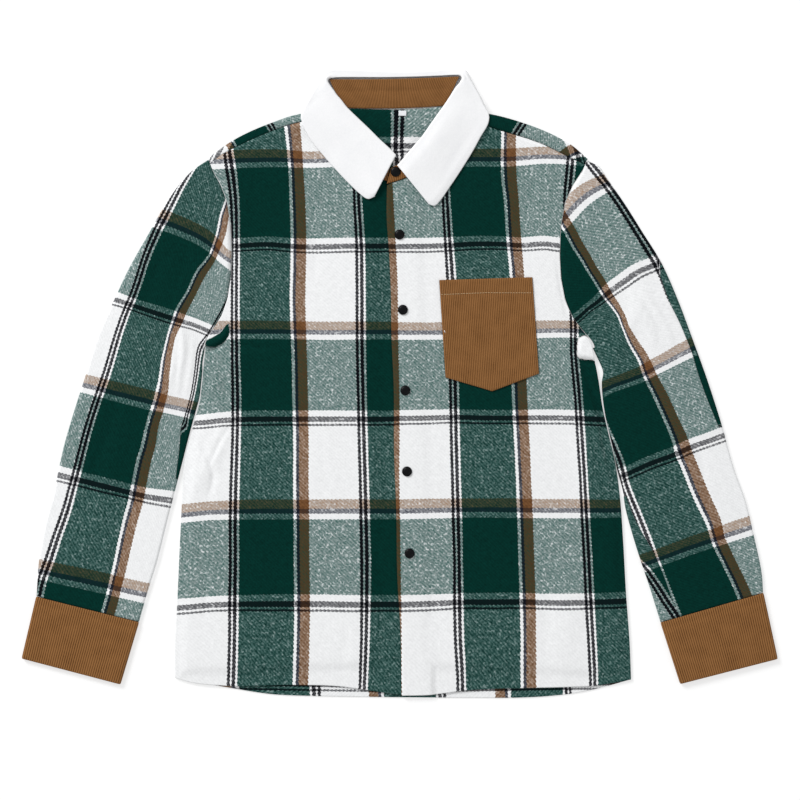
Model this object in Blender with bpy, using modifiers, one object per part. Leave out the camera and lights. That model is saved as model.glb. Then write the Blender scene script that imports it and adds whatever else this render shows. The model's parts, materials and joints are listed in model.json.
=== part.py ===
"""A check overshirt with corduroy cuffs, pocket and collar stand, laid flat on its back.

Sizes are in millimetres and become metres as each mesh is made. X runs across the chest to the
wearer's left, Y up the body to the collar, and Z up from the surface that the shirt lies on.
Right and left are the wearer's: the right side is at -X.
"""

from collections import namedtuple
import math

import bmesh
import bpy
import numpy as np
from mathutils import Vector

MM = 0.001

# Cloth walls and the gaps that keep the pieces apart.
CLOTH = 1.4
DOUBLE_CLOTH = 2.4
CORD_CLOTH = 2.0
COLLAR_CLOTH = 2.0
POCKET_CLOTH = 1.2
LABEL_CLOTH = 1.0
SEAM = 0.3
SHOULDER_GAP = 0.8
ARMHOLE_GAP = 0.7

# Layers, from the surface up. A tube laid flat is LAID high at its folded edges.
LAID = 5.3
INSIDE = LAID - CLOTH
EDGE_REST = CLOTH + SEAM
NECK_RISE = COLLAR_CLOTH + SEAM
UNDER_EDGE_REST = 2.2

# Corduroy.
WALE = 2.2
RIB = 0.35

# Snap caps.
SNAP_RADIUS = 6.0
SNAP_HEIGHT = 2.4
NECK_SNAP_HEIGHT = 1.8
SNAP_TURNS = 16

Point = namedtuple("Point", "x y")
Fold = namedtuple("Fold", "x y turn length width height")
SleeveSection = namedtuple("SleeveSection", "outer_x outer_y inner_x inner_y arch puff")
LeafSection = namedtuple(
    "LeafSection", "roll_x roll_y rim_x rim_y roll_z rim_z turn curl hem_x hem_y"
)
BandSection = namedtuple("BandSection", "neck_share top_x top_y seam_z top_z")

# Body outline: side seams run from the hem to the underarm.
SIDE_RIGHT = [
    Point(-269, -354), Point(-268.5, -312.5), Point(-266, -257.5), Point(-263, -189),
    Point(-260.5, -141), Point(-257, -90.5), Point(-248.5, -57), Point(-239, -21),
    Point(-235, 15), Point(-232.5, 40),
]
SIDE_LEFT = [
    Point(277.5, -356), Point(276, -316), Point(271.5, -252.5), Point(268, -189),
    Point(264.5, -140), Point(258, -93), Point(250, -59.5), Point(243, -28),
    Point(238, 5.5), Point(231, 39),
]
SHOULDER_TIP_RIGHT, UNDERARM_RIGHT, ARCH_RIGHT = Point(-228.6, 266.8), Point(-232.5, 43), 30.0
SHOULDER_TIP_LEFT, UNDERARM_LEFT, ARCH_LEFT = Point(224.3, 265.5), Point(231, 41), -36.0

SEAM_START = 0.98

# The armhole bows towards the body: share of the way down it, and share of its greatest depth.
ARMHOLE_ARCH = [
    (0.0, 0.0), (0.05, 0.15), (0.13, 0.5), (0.22, 0.77), (0.35, 0.94), (0.5, 1.0), (0.62, 0.98),
    (0.74, 0.86), (0.83, 0.64), (0.9, 0.34), (0.95, 0.12), (1.0, 0.0),
]

HEM_FRONT_RIGHT = [
    Point(-269, -354), Point(-251.5, -359), Point(-207, -363.5), Point(-126.5, -362.5),
    Point(-68.5, -364.5), Point(-39.5, -368.5), Point(0, -374), Point(24.5, -374.5),
]
HEM_FRONT_LEFT = [
    Point(2.5, -375), Point(40, -374), Point(80, -369), Point(120, -367),
    Point(160, -366), Point(199.5, -365), Point(237.5, -363), Point(277.5, -356),
]
HEM_BACK = [
    Point(-269, -354), Point(-239.5, -360), Point(-201, -366.5), Point(-155.5, -373.5),
    Point(-101.5, -376), Point(-39.5, -377), Point(8, -377.5), Point(90, -378),
    Point(140, -378), Point(179.5, -376), Point(219.5, -371), Point(249, -364),
    Point(277.5, -356),
]

# The left front's folded edge, the right front's hidden edge, and the neck seam of each.
PLACKET_EDGE = [
    Point(2.5, -375), Point(1, -292), Point(-2.5, -237), Point(-4, -150.5),
    Point(-6.5, -82), Point(-7, -3), Point(-9.5, 52), Point(-10.5, 113.5),
    Point(-12.5, 155.5), Point(-15.5, 201), Point(-15, 237),
]
UNDER_EDGE = [
    Point(24.5, -374.5), Point(23, -237), Point(20, -82), Point(18, 52),
    Point(16, 155.5), Point(16, 233),
]
NECK_RIGHT = [
    Point(16, 233), Point(-4, 236.5), Point(-23.5, 244), Point(-45, 257.5),
    Point(-68, 276), Point(-84.5, 297.5), Point(-93, 315.2),
]
NECK_LEFT = [
    Point(-15, 237), Point(8, 244.5), Point(34, 258.5), Point(57, 279),
    Point(72.5, 298), Point(82, 315.2),
]
DOUBLE_EDGE_WIDTH = 30.0
DOUBLE_EDGE_FADE = 14.0
UNDER_EDGE_X = -18.0
UNDER_EDGE_FADE = 20.0

# Shoulders: the back is folded over here and comes down to a seam on the front.
SEAM_RIGHT = [
    Point(-227, 262.3), Point(-219, 269), Point(-196, 282), Point(-159, 299),
    Point(-119.5, 312), Point(-93, 316),
]
SEAM_LEFT = [
    Point(82, 316), Point(106, 307), Point(120.5, 302), Point(138, 297),
    Point(171, 286), Point(200, 271.5), Point(222.3, 261.4),
]
FOLD_RIGHT = [
    Point(-230, 269), Point(-199, 290.5), Point(-173, 303.5), Point(-149.5, 312.5),
    Point(-122, 321), Point(-107.5, 323), Point(-93, 323.5),
]
FOLD_LEFT = [
    Point(82, 324.5), Point(96.5, 323.5), Point(111, 321), Point(140.5, 313.5),
    Point(179.5, 299), Point(207, 284), Point(225.7, 267.8),
]
NECK_BACK = [
    Point(-93, 323.5), Point(-77.5, 326), Point(-63, 328), Point(-33, 327.5),
    Point(0.5, 327), Point(36.5, 329), Point(53, 330.5), Point(66.5, 329),
    Point(82, 324.5),
]

# Soft folds of the fronts: middle, turn from X in degrees, length, width and height.
BODY_FOLDS = [
    Fold(-226, -92, 62, 90, 20, 1.7),
    Fold(-210, -60, 118, 60, 16, 1.2),
    Fold(-195, 20, 35, 80, 26, 1.4),
    Fold(-170, -250, 95, 170, 34, 1.1),
    Fold(-95, -120, 88, 200, 40, 0.9),
    Fold(-120, 190, 78, 150, 36, 1.0),
    Fold(-60, -300, 96, 120, 30, 1.0),
    Fold(215, 0, 140, 100, 22, 1.9),
    Fold(225, -110, 100, 120, 24, 1.2),
    Fold(180, 230, 110, 90, 26, 1.1),
    Fold(120, -170, 92, 190, 38, 0.9),
    Fold(205, -270, 84, 150, 32, 1.1),
    Fold(70, -310, 95, 110, 28, 0.8),
]

# Sleeves laid flat: where each section starts at the outer fold and ends at the inner one, how far
# it bows towards the body, and how far its middle stands above the folds.
SLEEVE_RIGHT = [
    SleeveSection(-230.9, 268.9, -233.1, 43, 0, 0.0),
    SleeveSection(-247, 255, -234.3, 35, 8, 0.2),
    SleeveSection(-261, 241, -236, 25, -6, 0.4),
    SleeveSection(-279, 216, -236.6, 14, -10, 0.7),
    SleeveSection(-302, 176, -238.2, 0, -10, 0.9),
    SleeveSection(-325, 135, -240.8, -18, -7, 1.0),
    SleeveSection(-342, 99, -245.6, -36, -3, 1.0),
    SleeveSection(-359.5, 61.5, -251.8, -58, 0, 0.9),
    SleeveSection(-378, 3, -259.5, -91, 0, 0.8),
    SleeveSection(-392.5, -42.5, -266, -118, 0, 0.8),
    SleeveSection(-402.5, -77.5, -274, -149, 0, 0.9),
    SleeveSection(-415, -134, -282.5, -183, 0, 0.8),
    SleeveSection(-423.5, -165, -290, -213, 0, 0.7),
    SleeveSection(-432, -213, -302, -251, 0, 0.6),
    SleeveSection(-435, -256, -312.2, -286.6, 0, 0.6),
]
SLEEVE_LEFT = [
    SleeveSection(226.6, 267.5, 231.7, 41, 0, 0.0),
    SleeveSection(237.5, 260, 237, 30, -8, 0.2),
    SleeveSection(248, 245.5, 243.5, 15, 5, 0.4),
    SleeveSection(269, 215.5, 246, 0, 8, 0.7),
    SleeveSection(291, 180.5, 245.6, -17, 8, 0.9),
    SleeveSection(312.5, 146, 248.6, -38, 6, 1.0),
    SleeveSection(333.5, 99.5, 253.4, -59.5, 3, 1.0),
    SleeveSection(349.5, 57, 257.6, -77.5, 0, 0.9),
    SleeveSection(369, 3, 263, -105, 0, 0.8),
    SleeveSection(384.5, -45, 267, -127, 0, 0.8),
    SleeveSection(401.5, -105, 271.5, -154, 0, 0.9),
    SleeveSection(414.5, -141, 279.5, -183, 0, 0.8),
    SleeveSection(424, -180.5, 288.5, -212, 0, 0.7),
    SleeveSection(434, -227.5, 301, -249, 0, 0.6),
    SleeveSection(435.8, -251.6, 312.8, -287, 0, 0.6),
]
SLEEVE_FOLDS = [
    Fold(-262, 60, 100, 110, 18, 1.6),
    Fold(-280, -10, 70, 120, 20, 1.3),
    Fold(-330, 20, 60, 110, 22, 1.1),
    Fold(-350, -120, 75, 150, 24, 1.2),
    Fold(-390, -220, 68, 90, 18, 1.0),
    Fold(-300, 150, 50, 90, 22, 1.2),
    Fold(262, 40, 65, 100, 18, 1.7),
    Fold(300, 60, 118, 120, 22, 1.4),
    Fold(330, 0, 125, 110, 22, 1.2),
    Fold(310, -140, 112, 170, 18, 1.6),
    Fold(365, -150, 108, 140, 22, 1.1),
    Fold(395, -220, 100, 80, 18, 1.0),
]

# Cuffs: corners at the sleeve end and at the wrist, outer edge first.
CUFF_RIGHT = [
    Point(-435.1, -256.45), Point(-312.3, -287.05), Point(-334.5, -361.5), Point(-452.5, -330.5),
]
CUFF_LEFT = [
    Point(435.9, -252.05), Point(312.9, -287.45), Point(336.5, -361), Point(453, -331),
]
CUFF_HEIGHT = 6.4
CUFF_RIDGE_SHARE, CUFF_RIDGE = 0.17, 0.4

# Pocket corners from the top by the placket, and the point at its foot.
POCKET_TOP = [Point(47.5, 122.5), Point(159, 126)]
POCKET_FOOT = [Point(55, 6), Point(167, 10.5)]
POCKET_POINT = Point(111, -10.5)
POCKET_STITCH_SHARE = 0.14

# Collar leaf, from its right tip round the back to its left tip: the roll line, the rim that shows
# (its own edge in front, the fold to its underside behind), their heights, how far the cloth turns
# over at the roll in degrees, the radius of that turn, and its hidden edge under the back.
LEAF_FRONT_RIGHT = [
    LeafSection(-4, 272, -30, 222, 10.6, 8.2, 180, 2.3, 0, 0),
    LeafSection(-10, 278.5, -38.5, 219.5, 10.4, 7.8, 180, 2.3, 0, 0),
    LeafSection(-17.5, 285.5, -48.5, 226.5, 10.2, 7.6, 180, 2.3, 0, 0),
    LeafSection(-24.5, 292, -59, 236.5, 10.0, 7.6, 180, 2.3, 0, 0),
    LeafSection(-35.5, 303, -74.5, 252.5, 10.2, 7.6, 180, 2.3, 0, 0),
    LeafSection(-46, 313, -89, 269, 10.4, 7.8, 180, 2.3, 0, 0),
    LeafSection(-56, 322.5, -101, 283, 10.9, 8.9, 180, 2.3, 0, 0),
    LeafSection(-63, 329.5, -110.5, 297, 11.3, 9.8, 180, 2.3, 0, 0),
    LeafSection(-69.5, 338, -116, 309.5, 11.8, 10.3, 180, 2.3, 0, 0),
    LeafSection(-74, 343, -118, 318.5, 12.0, 10.4, 180, 2.3, 0, 0),
]
LEAF_BACK = [
    LeafSection(-77.5, 348, -116, 327.5, 12.2, 10.4, 180, 2.3, -109, 326.5),
    LeafSection(-80.5, 352, -111.5, 335, 12.3, 10.8, 180, 2.3, -104, 325),
    LeafSection(-82.5, 355, -107, 344, 12.4, 11.2, 170, 2.6, -99, 324.5),
    LeafSection(-84.3, 358, -101.5, 355, 12.4, 11.4, 150, 2.9, -93.5, 324),
    LeafSection(-85.3, 360.6, -96.5, 364.5, 12.3, 11.2, 125, 2.9, -87, 324),
    LeafSection(-84.8, 362.3, -92.5, 370, 11.9, 10.8, 95, 2.9, -82, 324),
    LeafSection(-83, 363.2, -87.5, 374, 11.2, 10.2, 70, 2.7, -77.5, 324),
    LeafSection(-80, 363.4, -81, 376.5, 10.3, 9.5, 45, 2.3, -71.5, 324),
    LeafSection(-71.5, 363.4, -72, 377, 9.2, 8.9, 18, 2.3, -64, 324),
    LeafSection(-47.5, 363.2, -47.5, 376, 8.4, 8.3, 5, 2.3, -45, 323.5),
    LeafSection(-23.5, 363.1, -23.5, 375, 8.3, 8.3, 5, 2.3, -23.5, 323.5),
    LeafSection(0.5, 363.4, 0.5, 374, 8.3, 8.3, 5, 2.3, 0.5, 323.5),
    LeafSection(24.5, 364, 24.5, 374.6, 8.3, 8.3, 5, 2.3, 24.5, 323.5),
    LeafSection(48.5, 365, 48.5, 376, 8.4, 8.3, 5, 2.3, 46, 324),
    LeafSection(63, 366.1, 64, 377, 9.3, 9.0, 18, 2.3, 59.5, 324.5),
    LeafSection(69.5, 366.6, 73.5, 376.2, 10.6, 9.8, 45, 2.7, 65, 324.5),
    LeafSection(72.6, 366.2, 81, 372.5, 11.5, 10.4, 80, 2.9, 70, 324.5),
    LeafSection(74.2, 363.9, 86.5, 362, 12.1, 11.0, 115, 2.9, 76, 324.5),
    LeafSection(73.2, 361.2, 93, 350, 12.4, 11.2, 145, 2.9, 83, 324.5),
    LeafSection(71, 357.5, 98.5, 340, 12.4, 11.0, 170, 2.6, 89, 325),
    LeafSection(67, 353, 103, 330, 12.2, 10.5, 180, 2.3, 96, 326.5),
]
LEAF_FRONT_LEFT = [
    LeafSection(64, 348.5, 107, 319.5, 12.0, 10.4, 180, 2.3, 0, 0),
    LeafSection(60, 342, 105.5, 308, 11.8, 10.3, 180, 2.3, 0, 0),
    LeafSection(53, 331.5, 97, 293.5, 11.4, 9.2, 180, 2.3, 0, 0),
    LeafSection(45, 320.5, 88, 277, 11.4, 8.2, 180, 2.3, 0, 0),
    LeafSection(35.5, 307, 78.5, 261.5, 11.4, 7.8, 180, 2.3, 0, 0),
    LeafSection(26, 293.5, 68.5, 246, 11.6, 7.8, 180, 2.3, 0, 0),
    LeafSection(17, 283, 59, 232, 11.8, 8.0, 170, 2.3, 0, 0),
    LeafSection(8.5, 273, 50, 219, 12.0, 8.2, 150, 2.3, 0, 0),
    LeafSection(2, 265, 42.5, 211.5, 12.0, 8.4, 120, 2.3, 0, 0),
    LeafSection(-3, 259.5, 35, 213, 12.0, 8.6, 90, 2.3, 0, 0),
]
LEAF_ROLL_STEP = 1.6
LEAF_ROLL_STEPS = 5
LEAF_ROLL_SHARE = 0.6
LEAF_TOP_STEPS = 7
LEAF_TURN_STEPS = 4
LEAF_SPLIT_ANGLE = 45.0

# Collar stand: the neck part is a sloping band whose inside shows. Its ends follow the roll line.
STAND_SEAM_RIGHT, STAND_SEAM_LEFT = Point(-68, 329.2), Point(55, 331.6)
STAND_TOP_RIGHT, STAND_TOP_LEFT = Point(-84, 362.6), Point(71.5, 366)
STAND_SEAM_DIP, STAND_TOP_DIP = 2.0, 1.2
STAND_SEAM_Z, STAND_TOP_Z = 2.3, 6.0
STAND_CREASE_SHARE, STAND_CREASE = 0.6, 0.5

# Front ends of the stand: a section at each share of the front's neck seam from the centre.
BAND_LEFT = [
    BandSection(0.0, -10.4, 256.5, 5.5, 5.5),
    BandSection(1 / 7, 3, 263.5, 5.5, 5.6),
    BandSection(2 / 7, 12, 270.5, 5.2, 6.1),
    BandSection(3 / 7, 23.5, 284, 4.8, 6.8),
    BandSection(4 / 7, 34, 298, 4.3, 6.8),
    BandSection(5 / 7, 44, 311.5, 4.3, 6.8),
    BandSection(6 / 7, 54.5, 326, 5.2, 6.8),
    BandSection(1.0, 67, 344.5, 6.3, 7.3),
]
BAND_RIGHT = [
    BandSection(0.22, -10, 269.5, 2.8, 3.1),
    BandSection(2 / 7, -14.5, 276.5, 3.0, 3.6),
    BandSection(3 / 7, -26.8, 287.8, 3.8, 5.2),
    BandSection(4 / 7, -38, 298.8, 4.0, 5.4),
    BandSection(5 / 7, -50.5, 310.6, 4.0, 5.8),
    BandSection(6 / 7, -66, 325.5, 5.1, 6.3),
    BandSection(1.0, -79, 340.7, 6.2, 7.2),
]
BAND_COLUMNS = [0.0, 0.33, 0.67, 1.0]
BAND_SEAM_GAP = 0.8

SNAPS = [
    Point(-4.6, 252), Point(0, 177), Point(4, 87), Point(7, -9.5), Point(9, -106.5), Point(12, -204.5),
]
LABEL_CENTRE, LABEL_WIDTH, LABEL_LENGTH = Point(3.6, 322.4), 9.2, 6.2


def smooth_step(share):
    """0 to 1 with soft ends."""
    share = min(max(share, 0.0), 1.0)
    return share * share * (3.0 - 2.0 * share)


def smooth_curve(rows):
    """A function of 0 to 1 that runs smoothly through the rows, by length over their first two columns."""
    knots = np.array(rows, float)
    lengths = np.hypot(*np.diff(knots[:, :2], axis=0).T)
    stops = np.concatenate([[0.0], np.cumsum(lengths)])
    slopes = np.gradient(knots, stops, axis=0)

    def at(share):
        place = share * stops[-1]
        i = min(int(np.searchsorted(stops, place, side="right")) - 1, len(lengths) - 1)
        span = lengths[i]
        t = (place - stops[i]) / span
        return (
            (2 * t**3 - 3 * t**2 + 1) * knots[i]
            + (t**3 - 2 * t**2 + t) * span * slopes[i]
            + (3 * t**2 - 2 * t**3) * knots[i + 1]
            + (t**3 - t**2) * span * slopes[i + 1]
        )

    return at


def joined(first, second, share):
    """Two curves as one, which passes from the first to the second at the given share."""

    def at(place):
        if place <= share:
            return first(place / share)
        return second((place - share) / (1.0 - share))

    return at


def plain_bow(share):
    """Depth of an even bow at a share of the way along it."""
    return math.sin(math.pi * share)


def armhole_bow(share):
    """Depth of the armhole's bow at a share of the way down it."""
    places, depths = zip(*ARMHOLE_ARCH)
    return float(np.interp(share, places, depths))


def bowed_line(start, end, depth, bow):
    """A function of 0 to 1 along a line from start to end, bowed to a greatest depth."""
    start, end = np.array(start, float), np.array(end, float)
    along = end - start
    across = np.array([-along[1], along[0]]) / np.hypot(*along)

    def at(share):
        return start + along * share + across * depth * bow(share)

    return at


def armhole_up(underarm, tip, depth):
    """A function of 0 to 1 from the underarm up to the shoulder tip."""
    return bowed_line(underarm, tip, depth, lambda share: armhole_bow(1.0 - share))


def fold_height(folds, x, y):
    """Sum of the soft folds at a point."""
    height = 0.0
    for fold in folds:
        turn = math.radians(fold.turn)
        along = (x - fold.x) * math.cos(turn) + (y - fold.y) * math.sin(turn)
        across = (y - fold.y) * math.cos(turn) - (x - fold.x) * math.sin(turn)
        height += fold.height * math.exp(-((2 * along / fold.length) ** 2) - (2 * across / fold.width) ** 2)
    return height


def neck_rise(x, y):
    """How far the collar leaf under the back lifts the cloth above it."""
    across = smooth_step((162.0 - abs(x + 5.4)) / 38.0)
    up = smooth_step((y - 288.0) / 25.0)
    return NECK_RISE * across * up


def front_inside(x, y):
    """Height of the inner face of the fronts, away from their edges."""
    return INSIDE + neck_rise(x, y) + fold_height(BODY_FOLDS, x, y)


def material(name, colour, roughness):
    """A plain Principled material."""
    made = bpy.data.materials.new(name)
    made.use_nodes = True
    shader = made.node_tree.nodes["Principled BSDF"]
    shader.inputs["Base Color"].default_value = (*colour, 1.0)
    shader.inputs["Roughness"].default_value = roughness
    shader.inputs["Metallic"].default_value = 0.0
    return made


def add_object(name, finish, mesh):
    """Puts a mesh in the garment's collection as a named object with its own material."""
    mesh.materials.append(material(name, *finish))
    mesh.shade_smooth()
    mesh.set_sharp_from_angle(angle=math.radians(40))
    made = bpy.data.objects.new(name, mesh)
    garment.objects.link(made)
    return made


def grid_faces(bm, points, closed, kept):
    """Quads through a grid of points; kept says which cells are there."""
    verts = [[bm.verts.new(Vector(point) * MM) for point in row] for row in points]
    last = len(verts[0]) if closed else len(verts[0]) - 1
    for i in range(len(verts) - 1):
        for j in range(last):
            if kept(i, j):
                k = (j + 1) % len(verts[0])
                bm.faces.new((verts[i][j], verts[i][k], verts[i + 1][k], verts[i + 1][j]))
    return verts


def sheet(name, finish, points, wall, closed=False, kept=lambda i, j: True, side=-1.0):
    """Cloth through a grid of points, made thick on one side by Solidify."""
    bm = bmesh.new()
    grid_faces(bm, points, closed, kept)
    loose = [vert for vert in bm.verts if not vert.link_faces]
    bmesh.ops.delete(bm, geom=loose, context="VERTS")
    mesh = bpy.data.meshes.new(name)
    bm.to_mesh(mesh)
    bm.free()
    made = add_object(name, finish, mesh)
    solidify = made.modifiers.new("wall", "SOLIDIFY")
    solidify.thickness = wall * MM
    solidify.offset = side
    solidify.use_even_offset = True
    return made


def faced(name, finish, outer, inner, closed=False):
    """Cloth between an outer grid of points, which may be ribbed, and a plain inner one."""
    bm = bmesh.new()
    everywhere = lambda i, j: True
    tops = grid_faces(bm, outer, closed, everywhere)
    bottoms = grid_faces(bm, inner, closed, everywhere)
    columns = len(outer[0])
    for row in (0, -1):
        for j in range(columns if closed else columns - 1):
            k = (j + 1) % columns
            bm.faces.new((tops[row][j], tops[row][k], bottoms[row][k], bottoms[row][j]))
    if not closed:
        for column in (0, -1):
            for i in range(len(outer) - 1):
                bm.faces.new(
                    (tops[i][column], tops[i + 1][column], bottoms[i + 1][column], bottoms[i][column])
                )
    bmesh.ops.recalc_face_normals(bm, faces=bm.faces)
    mesh = bpy.data.meshes.new(name)
    bm.to_mesh(mesh)
    bm.free()
    return add_object(name, finish, mesh)


def panel_outline(first, last, bottom, top, rows, columns):
    """Plan points of a panel between a first and a last edge, a bottom edge and a top edge."""
    corners = [np.array(curve(share)[:2]) for curve in (bottom, top) for share in (0.0, 1.0)]
    plan = []
    for v in rows:
        row = []
        for s in columns:
            low = bottom(s)[:2] - corners[0] * (1 - s) - corners[1] * s
            high = top(s)[:2] - corners[2] * (1 - s) - corners[3] * s
            spread = first(v)[:2] * (1 - s) + last(v)[:2] * s
            row.append(spread + (1 - v) ** 2 * low + v**2 * high)
        plan.append(row)
    return plan


# Rows of the body panels: up the side seam to SIDE_SHARE, then up the armhole. The placket runs up to
# PLACKET_SHARE, and then the neck seam takes over in NECK_STEPS even steps.
SIDE_SHARE = 0.6
PLACKET_SHARE = 0.88
NECK_STEPS = 7
SIDE_ROWS = [0.0, 0.02, 0.05, 0.11, 0.18, 0.26, 0.34, 0.42, 0.49, 0.55]
ARMHOLE_ROWS = [0.6, 0.62, 0.65, 0.69, 0.73, 0.78, 0.83]
NECK_ROWS = [PLACKET_SHARE + (1.0 - PLACKET_SHARE) * k / NECK_STEPS for k in range(NECK_STEPS + 1)]
BODY_ROWS = SIDE_ROWS + ARMHOLE_ROWS + NECK_ROWS
ARMHOLE_SHARES = [(v - SIDE_SHARE) / (1.0 - SIDE_SHARE) for v in ARMHOLE_ROWS + NECK_ROWS]
FRONT_COLUMNS = [0.0, 0.02, 0.05, 0.1, 0.17, 0.25, 0.34, 0.43, 0.52, 0.61, 0.7, 0.79, 0.86, 0.91, 0.96, 1.0]
SHOULDER_COLUMNS = [0.0, 0.12, 0.25, 0.38, 0.5, 0.62, 0.74, 0.84, 0.92, 1.0]
SIDE_DROP_WIDTH = 16.0
HEM_DROP_WIDTH = 14.0
FRONT_WIDTH = 270.0


def shoulder_seam(points):
    """A front's top edge, just below the straight runs of the back's seam edge."""
    seam = smooth_curve(points)
    stops = np.array([seam(share) for share in SHOULDER_COLUMNS])

    def at(share):
        x, y = (np.interp(share, SHOULDER_COLUMNS, column) for column in stops.T)
        return np.array([x, y - SHOULDER_GAP])

    return at


def edge_drop(side_distance, hem_distance, share_up):
    """How far the front comes down to the back's edge near the side seam and near the hem."""
    full = INSIDE - EDGE_REST
    beside = 1.0 - smooth_step((share_up - SIDE_SHARE + 0.06) / 0.05)
    side = full * (1.0 - smooth_step(side_distance / SIDE_DROP_WIDTH)) * beside
    hem = (full - 0.3) * (1.0 - smooth_step(hem_distance / HEM_DROP_WIDTH))
    return max(side, hem)


def make_front_right():
    """The right front, which runs under the left one at the centre."""
    armhole = armhole_up(UNDERARM_RIGHT, SHOULDER_TIP_RIGHT, -ARCH_RIGHT)
    side = joined(smooth_curve(SIDE_RIGHT), lambda share: armhole(share * SEAM_START), SIDE_SHARE)
    edge = joined(smooth_curve(UNDER_EDGE), smooth_curve(NECK_RIGHT), PLACKET_SHARE)
    plan = panel_outline(
        side, edge, smooth_curve(HEM_FRONT_RIGHT), shoulder_seam(SEAM_RIGHT), BODY_ROWS, FRONT_COLUMNS
    )
    points = []
    for v, row in zip(BODY_ROWS, plan):
        line = []
        for s, (x, y) in zip(FRONT_COLUMNS, row):
            pressed = smooth_step((x - UNDER_EDGE_X + UNDER_EDGE_FADE) / UNDER_EDGE_FADE)
            z = front_inside(x, y) - edge_drop(s * FRONT_WIDTH, y - row[0][1] - 10 * s, v)
            line.append((x, y, z + (min(z, UNDER_EDGE_REST) - z) * pressed))
        points.append(line)
    return sheet("front_right", CHECK, points, CLOTH, side=1.0)


def make_front_left():
    """The left front, with its centre edge folded double and lying over the right one."""
    armhole = armhole_up(UNDERARM_LEFT, SHOULDER_TIP_LEFT, -ARCH_LEFT)
    side = joined(smooth_curve(SIDE_LEFT), lambda share: armhole(share * SEAM_START), SIDE_SHARE)
    edge = joined(smooth_curve(PLACKET_EDGE), smooth_curve(NECK_LEFT), PLACKET_SHARE)
    hem = smooth_curve(HEM_FRONT_LEFT)
    top = shoulder_seam(SEAM_LEFT)
    plan = panel_outline(
        side, edge, lambda s: hem(1 - s), lambda s: top(1 - s), BODY_ROWS, FRONT_COLUMNS
    )
    folded = np.array(PLACKET_EDGE)
    inner, outer = [], []
    for v, row in zip(BODY_ROWS, plan):
        low, high = [], []
        for s, (x, y) in zip(FRONT_COLUMNS, row):
            z = front_inside(x, y) - edge_drop(s * FRONT_WIDTH, 99.0 if x < 40 else y - row[0][1] - 10 * s, v)
            inside_edge = (x - np.interp(y, folded.T[1], folded.T[0]) - DOUBLE_EDGE_WIDTH) / DOUBLE_EDGE_FADE
            wall = DOUBLE_CLOTH - (DOUBLE_CLOTH - CLOTH) * smooth_step(inside_edge)
            low.append((x, y, z))
            high.append((x, y, z + wall))
        inner.append(low)
        outer.append(high)
    return faced("front_left", CHECK, outer, inner)


NECK_COLUMNS = [0.2, 0.4, 0.6, 0.8]
FOLD_ANGLES = [-90.0, -45.0, 0.0, 45.0, 90.0]


def make_back():
    """The back: flat where it rests, folded up over both shoulders and down to the front seams."""
    right = joined(
        smooth_curve(SIDE_RIGHT), armhole_up(UNDERARM_RIGHT, SHOULDER_TIP_RIGHT, -ARCH_RIGHT), SIDE_SHARE
    )
    left = joined(
        smooth_curve(SIDE_LEFT), armhole_up(UNDERARM_LEFT, SHOULDER_TIP_LEFT, -ARCH_LEFT), SIDE_SHARE
    )
    radius = LAID / 2
    places, tops, outs, seams = [], [], [], []
    parts = (
        (FOLD_RIGHT, SEAM_RIGHT, SHOULDER_COLUMNS, 0.0, 0.36),
        (NECK_BACK, None, NECK_COLUMNS, 0.36, 0.28),
        (FOLD_LEFT, SEAM_LEFT, SHOULDER_COLUMNS, 0.64, 0.36),
    )
    for line, seam, shares, start, span in parts:
        edge = smooth_curve(line)
        for share in shares:
            here = edge(share)
            along = edge(min(share + 0.01, 1.0)) - edge(max(share - 0.01, 0.0))
            out = np.array([-along[1], along[0]]) / np.hypot(*along)
            places.append(start + span * share)
            outs.append(out)
            tops.append(here - out * radius if seam else here)
            seams.append(smooth_curve(seam)(share) if seam else None)
    top = lambda s: tops[places.index(s)]
    plan = panel_outline(right, left, smooth_curve(HEM_BACK), top, BODY_ROWS, places)
    points = [[(x, y, neck_rise(x, y)) for x, y in row] for row in plan]
    columns = range(len(places))
    for degrees in FOLD_ANGLES[1:]:
        angle = math.radians(degrees)
        line = []
        for j in columns:
            x, y = points[len(BODY_ROWS) - 1][j][:2] + outs[j] * radius * math.cos(angle)
            line.append((x, y, neck_rise(*tops[j]) + radius + radius * math.sin(angle)))
        points.append(line)
    points.append([
        (*seams[j], neck_rise(*seams[j]) + LAID) if seams[j] is not None else points[-1][j] for j in columns
    ])
    neck_start, neck_end = len(SHOULDER_COLUMNS) - 1, len(SHOULDER_COLUMNS) + len(NECK_COLUMNS)
    is_cloth = lambda i, j: i < len(BODY_ROWS) - 1 or j < neck_start or j >= neck_end
    return sheet("back", CHECK, points, CLOTH, kept=is_cloth, side=1.0)


SLEEVE_FOLD_ANGLES = [-36.0, 0.0, 36.0]
SLEEVE_PUFF_POWER = 0.7
BESIDE_FOLD = 3.5


def edge_normals(points, inside):
    """Unit normals of an edge in plan, pointing away from the points inside."""
    along = np.gradient(points, axis=0)
    normals = np.stack([-along[:, 1], along[:, 0]], axis=1)
    normals /= np.hypot(*normals.T)[:, None]
    return normals * np.sign(np.sum(normals * (points - inside), axis=1))[:, None]


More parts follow.
